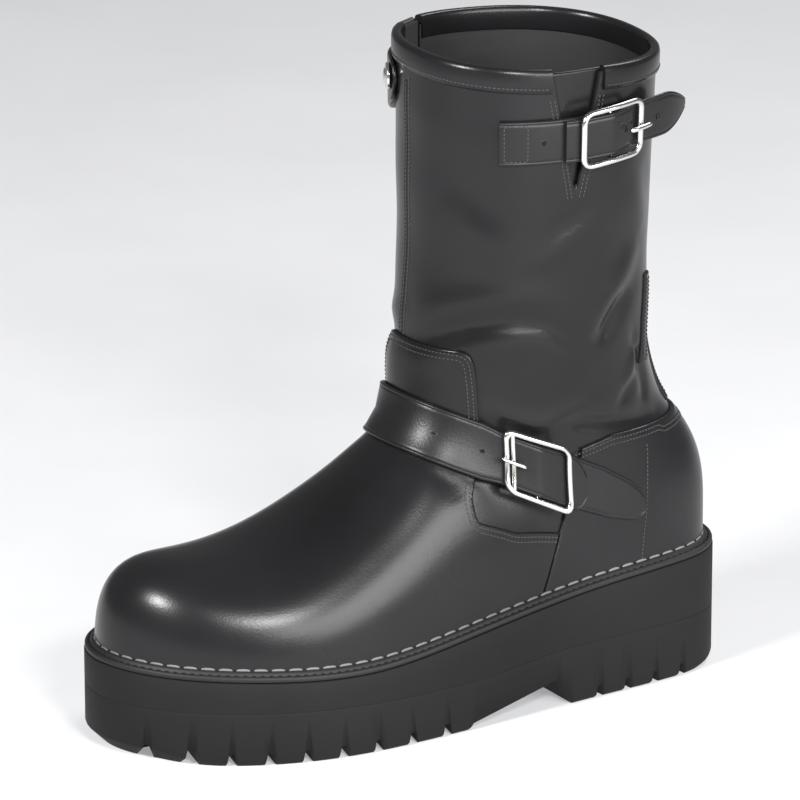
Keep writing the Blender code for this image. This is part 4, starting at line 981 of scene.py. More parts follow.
def make_back_stay(leather, thread):
    length = SHAFT_RISE - COLLAR_PITCH / 2 - COUNTER_RISE - BAND_HEIGHT - 4 * MM
    angles = np.radians(np.linspace(168, 192, 26))
    ups = -BAND_HEIGHT - FIT - length * np.linspace(1, 0, 110)
    made = turned_strip("back_stay_leather", angles, ups, collar_height, 0.0, CURVE_FIT + OVERLAY, [leather],
                        folds=False)
    piece(made, "leather", "back_stay")
    lines = upright_lines((170.4, 189.6), np.linspace(ups[0] + 2 * MM, ups[-1], 120), collar_height)
    piece(stitches("back_stay_stitches", lines, CURVE_FIT + OVERLAY, thread, folds=False), "leather")


def make_side_tab(leather, thread):
    """The short stitched strip on the back of the lateral side."""
    angles = np.radians(np.linspace(144, 150.5, 16))
    ups = np.linspace(148 * MM, 190 * MM, 50)
    made = turned_strip("side_tab", angles, ups, floor_height, 0.0, 1.2 * MM, [leather], roll=0.7 * MM)
    piece(made, "leather")
    lines = upright_lines((145.6, 148.9), np.linspace(150 * MM, 188 * MM, 40), floor_height)
    piece(stitches("side_tab_stitches", lines, 1.2 * MM, thread), "leather")


def make_front_seam(leather, thread):
    """The seam down the front of the shaft, with a row of stitches beside it."""
    z = np.linspace(168 * MM, 286 * MM, 120)
    lines = upright_lines((-3.2, -7.8), z, floor_height)
    piece(stitches("front_seam_stitches", lines, 0.0, thread), "leather")
    angles = np.radians(np.linspace(-6.2, -4.8, 5))
    made = turned_strip("front_seam", angles, z[::2], floor_height, -0.6 * MM, 0.35 * MM, [leather],
                        roll=0.5 * MM)
    piece(made, "leather")


# Straps and buckles

def strap(name, belt, s, half, bottom, looks, thickness=STRAP_LEATHER, holes=()):
    """A strap with round edges and a crease line beside each, and a hole mark at each hole: a pressed rim round
    a dark disc of painted shade, not a cut.
    """
    across = []
    for place, drop in ((0.0, thickness / 2), (0.12, 0.55), (0.4, 0.16), (0.75, 0.02), (1.15, 0.0), (1.5, 0.22),
                        (1.85, 0.0), (3.0, -0.06)):
        across.append((place * MM, drop * MM if place else drop))
    across.append((None, -0.08 * MM))
    top = []
    rows = [(1, place, drop) for place, drop in across] + [(-1, place, drop) for place, drop in across[-2::-1]]
    for side, place, drop in rows:
        w = 0 * half if place is None else side * np.maximum(half - place, 0.2 * MM)
        top.append(belt.point(s, w, bottom + thickness - drop))
    low = []
    for side, place, drop in rows[::-1]:
        if place is None or place in (0.12 * MM, 0.75 * MM, 3.0 * MM):
            w = 0 * half if place is None else side * np.maximum(half - place, 0.2 * MM)
            rise = 0.55 * MM if place == 0.12 * MM else 0.0
            low.append(belt.point(s, w, bottom + rise))
    sections = world(np.stack(top + low, axis=1))
    made = tube(name, sections, looks, closed=False, smooth=60)
    for k, place in enumerate(holes):
        top = float(np.interp(place, s, bottom)) + thickness
        piece(painted_recess_shade(name + f"_hole{k}", belt, place, top), "strap_leather")
    return made


def painted_recess_shade(name, belt, s, top, radius=1.05 * MM):
    """A small hole mark on a strap, not cut through: a pressed rim round a sunk dark disc of painted shade that
    stands for the hole's depth.
    """
    rings = []
    for reach, rise in ((1.5, 0.0), (1.35, 0.2), (1.05, 0.22), (0.9, 0.14), (0.5, 0.13), (0.05, 0.13)):
        angle = np.radians(np.arange(24) * 15)
        rings.append(belt.point(s + radius * reach * np.cos(angle), radius * reach * np.sin(angle),
                                top + rise * MM))
    made = tube(name, world(np.stack(rings)), [bpy.data.materials["black_strap_leather"],
                                               bpy.data.materials["painted_recess_shade"]], closed=False)
    # Faces inside the radius take the near-black material: painted shade where the hole's depth would be.
    centre = Vector(world(belt.point(s, 0.0, top)))
    for face in made.data.polygons:
        face.material_index = 1 if (face.center - centre).length < radius else 0
    return made


def bar(name, belt, path, radius, looks, closed=False):
    """A round bar through (s, w, height) places of a belt, its ends rounded off."""
    path = np.array(path)
    way = np.roll(path, -1, axis=0) - np.roll(path, 1, axis=0) if closed else np.gradient(path, axis=0)
    way /= np.linalg.norm(way, axis=1)[:, None]
    side = np.cross(way, [0, 0, 1.0])
    side /= np.linalg.norm(side, axis=1)[:, None]
    up = np.cross(side, way)
    places, sizes = [path], [np.ones(len(path))]
    if not closed:
        caps = [(0.6, 0.8), (0.9, 0.45), (1.0, 0.1)]
        before = np.array([path[0] - way[0] * radius * reach for reach, _ in caps[::-1]])
        after = np.array([path[-1] + way[-1] * radius * reach for reach, _ in caps])
        places = [before, path, after]
        cap_sizes = np.array([size for _, size in caps])
        sizes = [cap_sizes[::-1], np.ones(len(path)), cap_sizes]
        side = np.vstack([side[:1]] * 3 + [side] + [side[-1:]] * 3)
        up = np.vstack([up[:1]] * 3 + [up] + [up[-1:]] * 3)
    path, size = np.vstack(places), np.concatenate(sizes)
    turn = np.radians(np.arange(16) * 22.5)
    ring = side[:, None, :] * np.cos(turn)[:, None] + up[:, None, :] * np.sin(turn)[:, None]
    sections = path[:, None, :] + ring * (radius * size)[:, None, None]
    return tube(name, world(belt.point(*np.moveaxis(sections, -1, 0))), looks, closed, 60)


def frame_path(half_s, half_w, corner, left, right):
    """The middle line of a buckle's frame as (s, w, height)."""
    path = []
    for turn in range(4):
        centre_s = (half_s - corner) * (1, -1, -1, 1)[turn]
        centre_w = (half_w - corner) * (1, 1, -1, -1)[turn]
        for k in range(9):
            angle = math.radians(90 * turn + 11.25 * k)
            s, w = centre_s + corner * math.cos(angle), centre_w + corner * math.sin(angle)
            path.append((s, w, left + (right - left) * (s + half_s) / (2 * half_s)))
    path = np.array(path + path[:1])
    return resample(path, 1.6 * MM)[:-1]


def buckle(prefix, belt, length, strap_width, left, right, height, looks, keeper):
    half_s = (length - BUCKLE_BAR) / 2
    half_w = strap_width / 2 + BUCKLE_PLAY + BUCKLE_BAR / 2
    frame_line = frame_path(half_s, half_w, 4 * MM, left, right)
    node = prefix + "_buckle"
    piece(bar(prefix + "_buckle_frame", belt, frame_line, BUCKLE_BAR / 2, looks, True), "nickel", node)
    inside = half_w - BUCKLE_BAR / 2
    centre = (left + right) / 2
    rows = [(0, w, level) for w, level in zip(np.linspace(-half_w, half_w, 17),
            np.interp(np.linspace(-half_w, half_w, 17), [-half_w, -inside, inside, half_w],
                      [centre, height, height, centre]))]
    piece(bar(prefix + "_buckle_bar", belt, rows, MIDDLE_BAR / 2, looks), "nickel", node)
    if keeper:
        s = keeper * (half_s - BUCKLE_BAR - 0.5 * MM)
        level = (left if keeper < 0 else right) + 0.3 * MM
        rows = [(s, w, level) for w in np.linspace(-half_w, half_w, 17)]
        piece(bar(prefix + "_buckle_second_bar", belt, rows, BUCKLE_BAR / 2 * 0.85, looks), "nickel", node)


def make_prong(node, belt, side, places, fall, top, over, metal):
    """The end of a prong that shows past its strap, toward one side of the buckle.

    It falls from top to over between the two places of fall, all in mm from the middle bar.
    """
    levels = smooth_line(np.interp(places, fall, [top, over]), 1)
    path = [(side * place * MM, 0.0, level) for place, level in zip(places, levels)]
    piece(bar(node + "_bar", belt, path, PRONG / 2, [metal]), "nickel", node)


def make_instep_strap(leather, metal):
    belt = Belt(instep_level, INSTEP_STRAP_SLOPE, INSTEP_BUCKLE_PLACE)
    seat = OVERLAY_FIT + OVERLAY + CURVE_FIT
    zip_side = side_point(ZIP_PLACE + ZIP_SLOT / 2 + 2 * MM, instep_level(ZIP_PLACE, 0), -1, 0.0)
    start_angle = math.atan2(zip_side[1], zip_side[0] - AXIS)
    start = float(np.interp(start_angle, belt.angles, belt.along))
    bar_half = INSTEP_BUCKLE_LENGTH / 2 - BUCKLE_BAR / 2
    chape_top = seat + STRAP_LEATHER
    height = chape_top + FIT + MIDDLE_BAR / 2
    hump = height + MIDDLE_BAR / 2 + 2 * FIT
    tip = bar_half + 11 * MM
    s = np.linspace(start, tip, 170)
    bottom = np.interp(s, [start, -bar_half - 8 * MM, -bar_half, 0, bar_half, tip],
                       [seat, seat, seat + 0.9 * MM, hump, chape_top + FIT + 0.5 * MM, chape_top + FIT])
    bottom = smooth_line(bottom, 5)
    play = np.clip((s + bar_half + 10 * MM) / (8 * MM), 0, 1)
    half = INSTEP_STRAP_WIDTH / 2 - 1.0 * MM * play
    end = np.clip((s - (tip - 7 * MM)) / (7 * MM), 0, 1)
    half = half * (1 - 0.55 * end ** 2)
    holes = (-bar_half - 11 * MM, -bar_half - 32 * MM, -bar_half + 9 * MM)
    piece(strap("instep_strap_leather", belt, s, half, bottom, [leather], holes=holes), "strap_leather",
          "instep_strap")
    s = np.linspace(-2 * MM, 62 * MM, 60)
    half = np.interp(s / MM, [-2, 20, 40, 54, 59, 62], [11.2, 11.2, 10.4, 8.4, 6.6, 4.2]) * MM
    piece(strap("instep_chape_leather", belt, s, half, np.full(60, seat), [leather], CHAPE_LEATHER),
          "strap_leather", "instep_chape")
    left = seat + 0.9 * MM + STRAP_LEATHER + BUCKLE_BAR / 2 + 0.6 * MM
    right = chape_top + STRAP_LEATHER + BUCKLE_BAR / 2 + 1.3 * MM
    buckle("instep", belt, INSTEP_BUCKLE_LENGTH, INSTEP_STRAP_WIDTH - 2 * MM, left, right, height, [metal], -1)
    top = hump + STRAP_LEATHER + PRONG / 2 + 0.4 * MM
    over = left + (BUCKLE_BAR + PRONG) / 2 + 2 * FIT
    make_prong("instep_prong", belt, -1, [8.5, 9.5, 10.5, 12, 13, 14, 15.6, 18.2], (6, 11), top, over, metal)
    return belt


def smooth_line(values, times):
    values = np.array(values, float)
    for _ in range(times):
        values[1:-1] = (values[:-2] + 2 * values[1:-1] + values[2:]) / 4
    return values


def make_collar_strap(leather, metal, thread):
    belt = Belt(collar_level, 0.0, COLLAR_BUCKLE_PLACE)
    seat = CURVE_FIT
    bar_half = COLLAR_BUCKLE_LENGTH / 2 - BUCKLE_BAR / 2
    chape_top = seat + CHAPE_LEATHER
    height = chape_top + FIT + MIDDLE_BAR / 2
    hump = height + MIDDLE_BAR / 2 + 2 * FIT
    s = np.linspace(-50 * MM, 2 * MM, 60)
    piece(strap("collar_chape_leather", belt, s, np.full(60, COLLAR_STRAP_WIDTH / 2), np.full(60, seat),
                [leather], CHAPE_LEATHER, holes=(-31 * MM,)), "strap_leather", "collar_chape")
    box = [(-48, -8), (-48, 8), (-38, 8), (-38, -8), (-48, -8)]
    line = [belt.point(s * MM, w * MM, 0.0) for s, w in box]
    line = resample(np.array(line), 1 * MM)
    piece(stitches("collar_chape_stitches", [line], chape_top, thread, folds=False), "strap_leather")
    tip = bar_half + 30 * MM
    s = np.linspace(-bar_half - 7 * MM, tip, 90)
    bottom = np.interp(s, [s[0], -bar_half, 0, bar_half, bar_half + 6 * MM, tip],
                       np.array([0.3, 0.8, (hump - chape_top) / MM, 0.8, 1.6, 9.5]) * MM + chape_top)
    half = np.full(90, COLLAR_STRAP_WIDTH / 2 - 0.4 * MM)
    end = np.clip((s - (tip - 14 * MM)) / (14 * MM), 0, 1)
    half = half * (1 - 0.72 * end ** 1.6)
    piece(strap("collar_strap_leather", belt, s, half, smooth_line(bottom, 5), [leather],
                holes=(bar_half - 8 * MM, bar_half + 12 * MM)), "strap_leather", "collar_strap")
    level = chape_top + 0.8 * MM + STRAP_LEATHER + BUCKLE_BAR / 2 + 0.6 * MM
    buckle("collar", belt, COLLAR_BUCKLE_LENGTH, COLLAR_STRAP_WIDTH, level, level, height, [metal], 0)
    top = hump + STRAP_LEATHER + PRONG / 2 + 0.4 * MM
    over = level + (BUCKLE_BAR + PRONG) / 2 + 2 * FIT
    make_prong("collar_prong", belt, 1, [8, 9, 10, 11, 12, 13, 14.6, 17.1], (5, 10), top, over, metal)


# Zip, flap and snap

def down_zip(f, z, out):
    return side_point(ZIP_PLACE + f, z, -1, out)


def zip_strip(name, half, inner, outer, low, high, looks, rows=60):
    z = np.linspace(low, high, rows)[:, None] + np.zeros((rows, 5))
    f = np.linspace(-half, half, 5)[None, :] + np.zeros((rows, 5))
    ring = [(0, inner), (4, inner), (4, outer), (3, outer), (2, outer), (1, outer), (0, outer)]
    sections = [down_zip(f[:, k], z[:, k], np.full(rows, out)) for k, out in ring]
    return tube(name, world(np.stack(sections, axis=1)), looks, closed=False)


def block(points, faces, place, size_f, size_z, low, high):
    """Add a small block beside the zip's middle line to a list of points and faces."""
    start = len(points)
    for out, shrink in ((low, 1.0), (high - 0.25 * MM, 1.0), (high, 0.7)):
        for f, z in ((-1, -1), (1, -1), (1, 1), (-1, 1)):
            points.append(down_zip(place[0] + f * size_f * shrink, place[1] + z * size_z * shrink, out))
    for r in (0, 4):
        for c in range(4):
            n = (c + 1) % 4
            faces.append([start + r + c, start + r + n, start + r + 4 + n, start + r + 4 + c])
    faces.append([start, start + 1, start + 2, start + 3])
    faces.append([start + 8, start + 9, start + 10, start + 11])


def make_zip(cloth, metal):
    rim = float(collar_height(np.array(ZIP_PLACE), -SHAFT_WIDTH / 2 * 0.85))
    foot = ZIP_BOTTOM + FIT
    slider_top = rim - 1 * MM
    slider_foot = slider_top - 10 * MM
    piece(zip_strip("zip_tape_cloth", ZIP_SLOT / 2 - FIT, -UPPER_WALL, -1.2 * MM, foot, rim - 2 * MM, [cloth]),
          "zip_cloth", "zip_tape")
    points, faces = [], []
    pitch = 2.7 * MM
    for k, z in enumerate(np.arange(foot + 4 * MM, slider_foot - 1 * MM, pitch / 2)):
        side = 1 if k % 2 else -1
        block(points, faces, (side * 1.1 * MM, z), 1.7 * MM, 0.5 * MM, -1.1 * MM, 0.8 * MM)
    points = np.array([world(p) for p in points])
    piece(grid_solid("zip_teeth", points, faces, [metal], 30), "nickel", "zip_chain")
    points, faces = [], []
    middle = (slider_foot + slider_top) / 2
    block(points, faces, (0, middle), 5.4 * MM, 4.9 * MM, -0.9 * MM, 0.9 * MM)
    block(points, faces, (0, middle), 5.8 * MM, 4.9 * MM, 1.3 * MM, 2.6 * MM)
    block(points, faces, (0, middle), 1.2 * MM, 3.8 * MM, 0.9 * MM, 4.5 * MM)
    points = np.array([world(p) for p in points])
    piece(grid_solid("zip_slider_body", points, faces, [metal], 30), "nickel", "zip_slider")
    z = np.linspace(slider_foot - 24 * MM, slider_foot - FIT, 24)
    half = np.interp(z, [z[0], z[0] + 3 * MM, z[-1] - 8 * MM, z[-1]], np.array([2.2, 3.6, 2.6, 1.6]) * MM)
    ring = [(-1, 1.3), (1, 1.3), (1, 2.1), (0.75, 2.4), (-0.75, 2.4), (-1, 2.1)]
    sections = [down_zip(side * half, z, np.full(24, out * MM)) for side, out in ring]
    piece(tube("zip_puller", world(np.stack(sections, axis=1)), [metal], closed=False), "nickel", "zip_pull")


def make_snap_flap(leather, metal, thread):
    """The tab sewn behind the zip, which reaches forward over it to its snap."""
    angle = np.linspace(-69, -16, 70)
    degrees = np.array([-69, -64, -58, -52, -46, -40, -34, -28, -22, -18, -16], float)
    lower = np.interp(angle, degrees, np.array([-41, -41, -41, -41, -40.5, -39, -36, -33, -30, -26, -21]) * MM)
    high = np.interp(angle, degrees, np.array([-11.4] * 8 + [-11.6, -13, -17]) * MM)
    out = np.interp(angle, degrees, np.array([0.6, 1.2, 2.2, 3.2, 3.4, 3.2, 2.4, 1.4, 0.8, 0.6, 0.6]) * MM)
    out = smooth_line(out, 4)
    rings = []
    for share, rise in ((0, 0.2), (0, 1.1), (0.02, 1.4), (0.06, 1.5), (0.5, 1.5), (0.94, 1.5), (0.98, 1.4),
                        (1, 1.1), (1, 0.2), (0.97, 0), (0.5, 0), (0.03, 0)):
        up = lower + (high - lower) * share
        rings.append(around(np.radians(angle), lambda f, l: collar_height(f, l) + up, out + rise * MM))
    made = tube("snap_flap_leather", world(np.stack(rings, axis=1)), [leather], closed=False)
    piece(made, "leather", "snap_flap")
    up = np.linspace(-39 * MM, -13.5 * MM, 30)
    line = around(np.full(30, math.radians(-66.5)), lambda f, l: collar_height(f, l) + up, np.zeros(30))
    piece(stitches("snap_flap_stitches", [line], 2.35 * MM, thread, folds=False), "leather")
    turn = math.radians(-23.5)
    base = 1.0 * MM + OVERLAY + 0.3 * MM

    def level(f, l):
        return collar_height(f, l) - 19.5 * MM

    centre = Vector(world(around(np.array(turn), level, np.array(base))))
    outward = (Vector(world(around(np.array(turn), level, np.array(base + 1 * MM)))) - centre).normalized()
    side = outward.cross(Vector((0, 0, 1))).normalized()
    up = side.cross(outward)
    profile = [(1.0, 0.0), (1.0, 0.3), (0.95, 0.55), (0.8, 0.66), (0.68, 0.6), (0.62, 0.72), (0.5, 1.0),
               (0.3, 1.15), (0.05, 1.2)]
    rings = []
    for radius, height in profile:
        place = centre + outward * (0.5 * MM + height * 2 * MM)
        rings.append([place + (side * math.cos(a) + up * math.sin(a)) * SNAP_RADIUS * radius
                      for a in np.radians(np.arange(36) * 10)])
    piece(tube("snap_cap", np.array(rings), [metal], closed=False), "nickel", "snap")


# Sole

def edge_ring(inset, height, bevel=None, count=150):
    """A ring of world points round the sole: heel, lateral side, toe, medial side."""
    lateral, medial = two_sides(inset_edge(inset))
    share = (1 - np.cos(np.pi * np.arange(count + 1) / count)) / 2
    f = lateral[0, 0] + (lateral[-1, 0] - lateral[0, 0]) * share
    one = np.column_stack([f, np.interp(f, lateral[:, 0], lateral[:, 1])])
    other = np.column_stack([f, np.interp(f, medial[:, 0], medial[:, 1])])
    ring = np.vstack([one, other[-2:0:-1]])
    if bevel is not None:
        along = np.roll(ring, -1, axis=0) - np.roll(ring, 1, axis=0)
        along /= np.linalg.norm(along, axis=1)[:, None]
        inward = np.column_stack([along[:, 1], -along[:, 0]])
        if ((ring - ring.mean(axis=0)) * inward).sum() > 0:
            inward = -inward
        ring = ring + inward * bevel(ring[:, 0])[:, None]
    return world(np.column_stack([ring, height(ring[:, 0])]))


def stack(name, rings, looks, smooth=40):
    """A body through closed rings of world points, its ends closed from side to side."""
    count = len(rings[0])
    faces = ring_faces(len(rings), count)
    for base in (0, (len(rings) - 1) * count):
        for c in range(count // 2):
            quad = [base + c, base + c + 1, base + (count - c - 1) % count, base + (count - c) % count]
            faces.append(list(dict.fromkeys(quad)))
    return grid_solid(name, np.concatenate(rings), faces, looks, smooth)


def apply_cut(target, tool):
    change = target.modifiers.new(tool.name, "BOOLEAN")
    change.operation = "DIFFERENCE"
    change.solver = "EXACT"
    change.object = tool
    with bpy.context.temp_override(object=target, active_object=target):
        bpy.ops.object.modifier_apply(modifier=change.name)
    bpy.data.objects.remove(tool, do_unlink=True)


def prism(name, outline, low, high):
    count = len(outline)
    points = [(f, l, z) for l in (low, high) for f, z in outline]
    faces = [list(range(count)), list(range(count, 2 * count))]
    for k in range(count):
        n = (k + 1) % count
        faces.append([k, n, count + n, count + k])
    return grid_solid(name, world(points), faces, [])


def groove_points(f, edge, side, turn, size):
    """A tread groove as a wedge that narrows upward and inward."""
    outer = edge + side * 4 * MM
    inner = edge - side * min(GROOVE_REACH, abs(edge) - 1 * MM)
    points = []
    for l, move in ((inner, turn), (outer, 0)):
        for part in (-0.5, 0.5):
            for z in (-2 * MM, (LUG_DEPTH + 0.8 * MM) * size):
                taper = 0.55 if z > 0 else 1.3
                points.append((f + move + part * taper * GROOVE_WIDTH * size, l, z))
    return points


def make_sole(outsole_rubber, midsole_rubber, leather, thread):
    def floor_level(f):
        return 0 * f

    rings = [edge_ring(0, floor_level, edge_bevel)]
    for inset, rise in ((0.25, -0.4), (0, 0.3)):
        rings.append(edge_ring(inset * MM, lambda f: edge_bevel(f) + rise * MM))
    for inset, rise in ((0, -0.5), (0.05, -0.1), (0.2, 0.1)):
        rings.append(edge_ring(inset * MM, lambda f: parting(f) + rise * MM))
    outsole = stack("outsole_tread", rings, [outsole_rubber], 30)
    width = BALL_WIDTH
    arch = [(HEEL_BREAST, -2 * MM), (HEEL_BREAST + 9.5 * MM, ARCH_RISE), (ARCH_END - 4 * MM, 3.2 * MM),
            (ARCH_END, -2 * MM)]
    apply_cut(outsole, prism("arch_cutter", arch, -width, width))
    fore = [(FORE_GROOVE_START + FORE_GROOVE_PITCH * k - FORE_GROOVE_SHRINK * k * k, -7 * MM,
             1.35 if k >= FORE_GROOVES - 2 else 1.0) for k in range(FORE_GROOVES)]
    heel = [(HEEL_GROOVE_START + HEEL_GROOVE_PITCH * k, 3 * MM, 1.0) for k in range(HEEL_GROOVES)]
    for side in (1, -1):
        edge = two_sides(SOLE_EDGE)[0 if side > 0 else 1]
        points, faces = [], []
        for f, turn, size in fore + heel:
            faces += [tuple(len(points) + k for k in face) for face in BOX_FACES]
            points += groove_points(f, np.interp(f, edge[:, 0], edge[:, 1]), side, turn, size)
        apply_cut(outsole, grid_solid("grooves", world(points), faces, []))
    half = CHANNEL_WIDTH / 2
    for start, end, middle in ((FORE_GROOVE_START, SOLE_LENGTH - 12 * MM, -2 * MM),
                               (HEEL_GROOVE_START, HEEL_BREAST - 12 * MM, 0)):
        outline = [(start, -2 * MM), (end, -2 * MM), (end, LUG_DEPTH * 0.9), (start, LUG_DEPTH * 0.9)]
        apply_cut(outsole, prism("channel", outline, middle - half, middle + half))
    piece(outsole, "outsole_rubber", "outsole")

    rings = []
    for inset, share, rise in ((0.2, 0, -0.15), (0.05, 0, 0.0), (0, 0, 0.4), (0, 0.5, 0), (0, 1, -0.9),
                               (0.2, 1, -0.35), (0.8, 1, 0.0)):
        rings.append(edge_ring(inset * MM, lambda f: (parting(f) + FIT) * (1 - share) + platform(f) * share
                               + rise * MM))
    piece(stack("midsole_wedge", rings, [midsole_rubber], 30), "midsole_rubber", "midsole")

    inner = WELT_INSET - CURVE_FIT
    rows = [(0.9, 0.3), (0.45, 0.5), (0.3, 1.0), (0.3, 1.9), (0.55, 2.5), (1.1, 2.85), (1.7, 2.95), (2.0, 2.6),
            (2.3, 2.6), (2.6, 3.2), (3.0, 3.9), (3.6, 4.35), (4.6, 4.55), (5.4, 4.5), (inner / MM, 4.6),
            (inner / MM, 0.3)]
    rings = [edge_ring(inset * MM, lambda f: platform(f) + rise * MM) for inset, rise in rows]
    piece(tube("welt_rand", np.array(rings).transpose(1, 0, 2), [leather], smooth=50), "welt", "welt")
    long_stitches("welt_stitches", thread, 4.7 * MM, WELT_HEIGHT - 0.1 * MM, 7.7 * MM, 6.3 * MM, 0.62 * MM)
    # Dark marks in the welt's notches: painted shade, not stitches.
    long_stitches("welt_notch_painted_shade", bpy.data.materials["painted_recess_shade"], 2.15 * MM, 2.75 * MM, 3.85 * MM, 2.0 * MM,
                  0.42 * MM)


def long_stitches(name, look, inset, rise, pitch, length, radius):
    """A row of long marks round the welt, such as its heavy stitches beside the upper or the painted shade of
    its notches.
    """
    line = edge_ring(inset, lambda f: platform(f) + rise)
    line = resample(np.vstack([line, line[:1]]), pitch)
    points, faces = [], []
    for a, b in zip(line[:-1], line[1:]):
        way = (b - a) / np.linalg.norm(b - a)
        side = np.cross(way, [0, 0, 1.0])
        add_stitch(points, faces, (a + b) / 2, way, side, np.cross(side, way), length, radius, WELT_PROFILE, 8)
    piece(grid_solid(name, points, faces, [look], 60), "welt")


# Materials

def surface(name, dark, light, roughness, grain, depth, patches=9, gleam=0.3, metallic=0.0, cells=False):
    """A procedural finish: patches of two tones, uneven gloss and a fine grain."""
    made = bpy.data.materials.new(name)
    made.use_nodes = True
    tree = made.node_tree
    shader = tree.nodes["Principled BSDF"]
    shader.inputs["Metallic"].default_value = metallic
    shader.inputs["Specular IOR Level"].default_value = gleam
    place = tree.nodes.new("ShaderNodeTexCoord")
    tone = tree.nodes.new("ShaderNodeTexNoise")
    tone.inputs["Scale"].default_value = patches
    tone.inputs["Detail"].default_value = 6
    ramp = tree.nodes.new("ShaderNodeValToRGB")
    ramp.color_ramp.elements[0].position = 0.35
    ramp.color_ramp.elements[0].color = (*dark, 1)
    ramp.color_ramp.elements[1].position = 0.7
    ramp.color_ramp.elements[1].color = (*light, 1)
    gloss = tree.nodes.new("ShaderNodeMapRange")
    gloss.inputs["To Min"].default_value = roughness[0]
    gloss.inputs["To Max"].default_value = roughness[1]
    tree.links.new(place.outputs["Object"], tone.inputs["Vector"])
    tree.links.new(tone.outputs["Fac"], ramp.inputs["Fac"])
    tree.links.new(ramp.outputs["Color"], shader.inputs["Base Color"])
    tree.links.new(tone.outputs["Fac"], gloss.inputs["Value"])
    tree.links.new(gloss.outputs["Result"], shader.inputs["Roughness"])
    fine = tree.nodes.new("ShaderNodeTexVoronoi" if cells else "ShaderNodeTexNoise")
    fine.inputs["Scale"].default_value = grain
    tree.links.new(place.outputs["Object"], fine.inputs["Vector"])
    bump = tree.nodes.new("ShaderNodeBump")
    bump.inputs["Distance"].default_value = depth
    bump.inputs["Strength"].default_value = 0.6
    tree.links.new(fine.outputs["Distance" if cells else "Fac"], bump.inputs["Height"])
    tree.links.new(bump.outputs["Normal"], shader.inputs["Normal"])
    return made


def light(name, azimuth, elevation, distance, width, height, power, target=(0, 0, 0.12)):
    data = bpy.data.lights.new(name, "AREA")
    data.shape = "RECTANGLE"
    data.size = width
    data.size_y = height
    data.energy = power
    made = bpy.data.objects.new(name, data)
    bpy.context.scene.collection.objects.link(made)
    a, e = math.radians(azimuth), math.radians(elevation)
    way = Vector((math.sin(a) * math.cos(e), -math.cos(a) * math.cos(e), math.sin(e)))
    made.location = Vector(target) + way * distance
    made.rotation_euler = way.to_track_quat("Z", "Y").to_euler()


def make_stage():
    floor = surface("pale_floor", (0.50, 0.50, 0.505), (0.53, 0.53, 0.535), (0.55, 0.7), 60, 0.0002)
    shader = floor.node_tree.nodes["Principled BSDF"]
    shader.inputs["Emission Color"].default_value = (0.97, 0.98, 1.0, 1)
    shader.inputs["Emission Strength"].default_value = 0.33
    shader.inputs["Specular IOR Level"].default_value = 0.1
    mesh = bpy.data.meshes.new("floor")
    mesh.from_pydata([(-30, -30, 0), (30, -30, 0), (30, 30, 0), (-30, 30, 0)], [], [(0, 1, 2, 3)])
    mesh.materials.append(floor)
    made = bpy.data.objects.new("floor", mesh)
    bpy.context.scene.collection.objects.link(made)
    world_look = bpy.data.worlds.new("studio")
    bpy.context.scene.world = world_look
    world_look.use_nodes = True
    tree = world_look.node_tree
    sky = tree.nodes["Background"]
    sky.inputs["Color"].default_value = (0.97, 0.98, 1.0, 1)
    rays = tree.nodes.new("ShaderNodeLightPath")
    strength = tree.nodes.new("ShaderNodeMapRange")
    strength.inputs["To Min"].default_value = 0.20
    strength.inputs["To Max"].default_value = 0.84
    tree.links.new(rays.outputs["Is Camera Ray"], strength.inputs["Value"])
    tree.links.new(strength.outputs["Result"], sky.inputs["Strength"])
    light("key", 14, 35, 1.5, 0.34, 0.28, 26)
    light("side", 102, 20, 1.7, 1.5, 0.4, 24)
    light("strip", 108, 9, 1.6, 1.1, 0.10, 7)
    light("front_side", 76, 33, 1.5, 0.3, 0.16, 14)
    light("back", 200, 50, 1.8, 0.6, 0.6, 10)
    bpy.context.scene.view_settings.view_transform = "Standard"


def make_camera():
    data = bpy.data.cameras.new("camera")
    data.lens = 279.4
    data.sensor_width = 36
    data.shift_x = -0.0145
    data.shift_y = 0.0493
    data.clip_end = 100
    made = bpy.data.objects.new("camera", data)
    bpy.context.scene.collection.objects.link(made)
    a, e = math.radians(59.5), math.radians(17.76)
    way = Vector((math.sin(a) * math.cos(e), -math.cos(a) * math.cos(e), math.sin(e)))
    made.location = Vector((0, 0.0025, 0.120)) + way * 2.770
    made.rotation_euler = way.to_track_quat("Z", "Y").to_euler()
    bpy.context.scene.camera = made


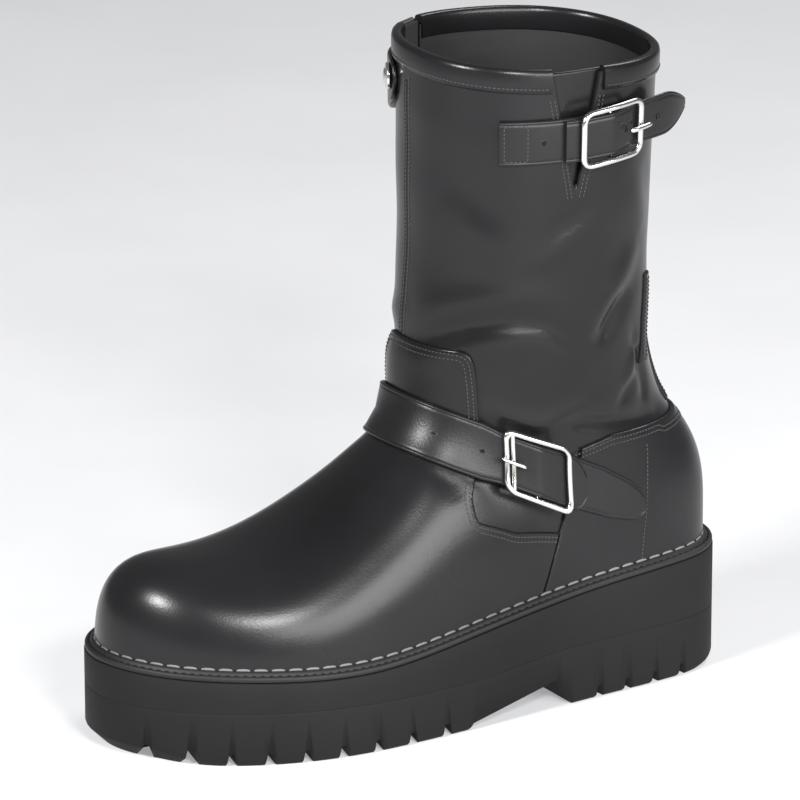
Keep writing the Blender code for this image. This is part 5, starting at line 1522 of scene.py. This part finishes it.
def main():
    leather = surface("black_leather", (0.0055, 0.0055, 0.006), (0.011, 0.011, 0.012), (0.22, 0.31),
                      1000, 0.00003, cells=True)
    strap_leather = surface("black_strap_leather", (0.006, 0.006, 0.0065), (0.012, 0.012, 0.013), (0.30, 0.42),
                            1100, 0.00006, gleam=0.32, cells=True)
    # Near-black matte colour: painted shade for the hole discs on the straps and the notches of the welt.
    surface("painted_recess_shade", (0.001, 0.001, 0.001), (0.003, 0.003, 0.003), (0.85, 0.95), 900, 0.0001)
    lining = surface("dark_lining", (0.012, 0.012, 0.0125), (0.022, 0.022, 0.023), (0.65, 0.8), 1400, 0.0002)
    welt_leather = surface("black_welt", (0.008, 0.008, 0.008), (0.016, 0.016, 0.017), (0.45, 0.6), 900, 0.0002)
    outsole_rubber = surface("black_rubber", (0.006, 0.006, 0.006), (0.011, 0.011, 0.011), (0.6, 0.75),
                             700, 0.0002, gleam=0.2)
    midsole_rubber = surface("black_foam", (0.006, 0.006, 0.006), (0.011, 0.011, 0.011), (0.6, 0.75),
                             500, 0.0003, gleam=0.2)
    thread = surface("black_thread", (0.030, 0.030, 0.031), (0.052, 0.052, 0.053), (0.45, 0.6), 2500, 0.0002)
    pale_thread = surface("grey_thread", (0.09, 0.09, 0.09), (0.19, 0.19, 0.187), (0.5, 0.7), 2200, 0.0003)
    nickel = surface("bright_nickel", (0.62, 0.61, 0.59), (0.78, 0.77, 0.75), (0.12, 0.24), 300, 0.00003,
                     gleam=0.5, metallic=1.0)
    cloth = surface("black_zip_cloth", (0.014, 0.014, 0.015), (0.024, 0.024, 0.025), (0.8, 0.95), 1600, 0.0004)
    for slot in frame["nodes"]["insole"].material_slots:
        slot.material = lining
    edge = vamp_edge_line()
    make_upper(leather, lining)
    make_vamp(leather, thread, edge)
    make_counter(leather, thread)
    make_collar_bands(leather, thread)
    make_gusset(leather, thread)
    make_back_stay(leather, thread)
    make_side_tab(leather, thread)
    make_front_seam(leather, thread)
    make_instep_strap(strap_leather, nickel)
    make_collar_strap(strap_leather, nickel, thread)
    make_zip(cloth, nickel)
    make_snap_flap(leather, nickel, thread)
    make_sole(outsole_rubber, midsole_rubber, welt_leather, pale_thread)
    make_stage()
    make_camera()


main()
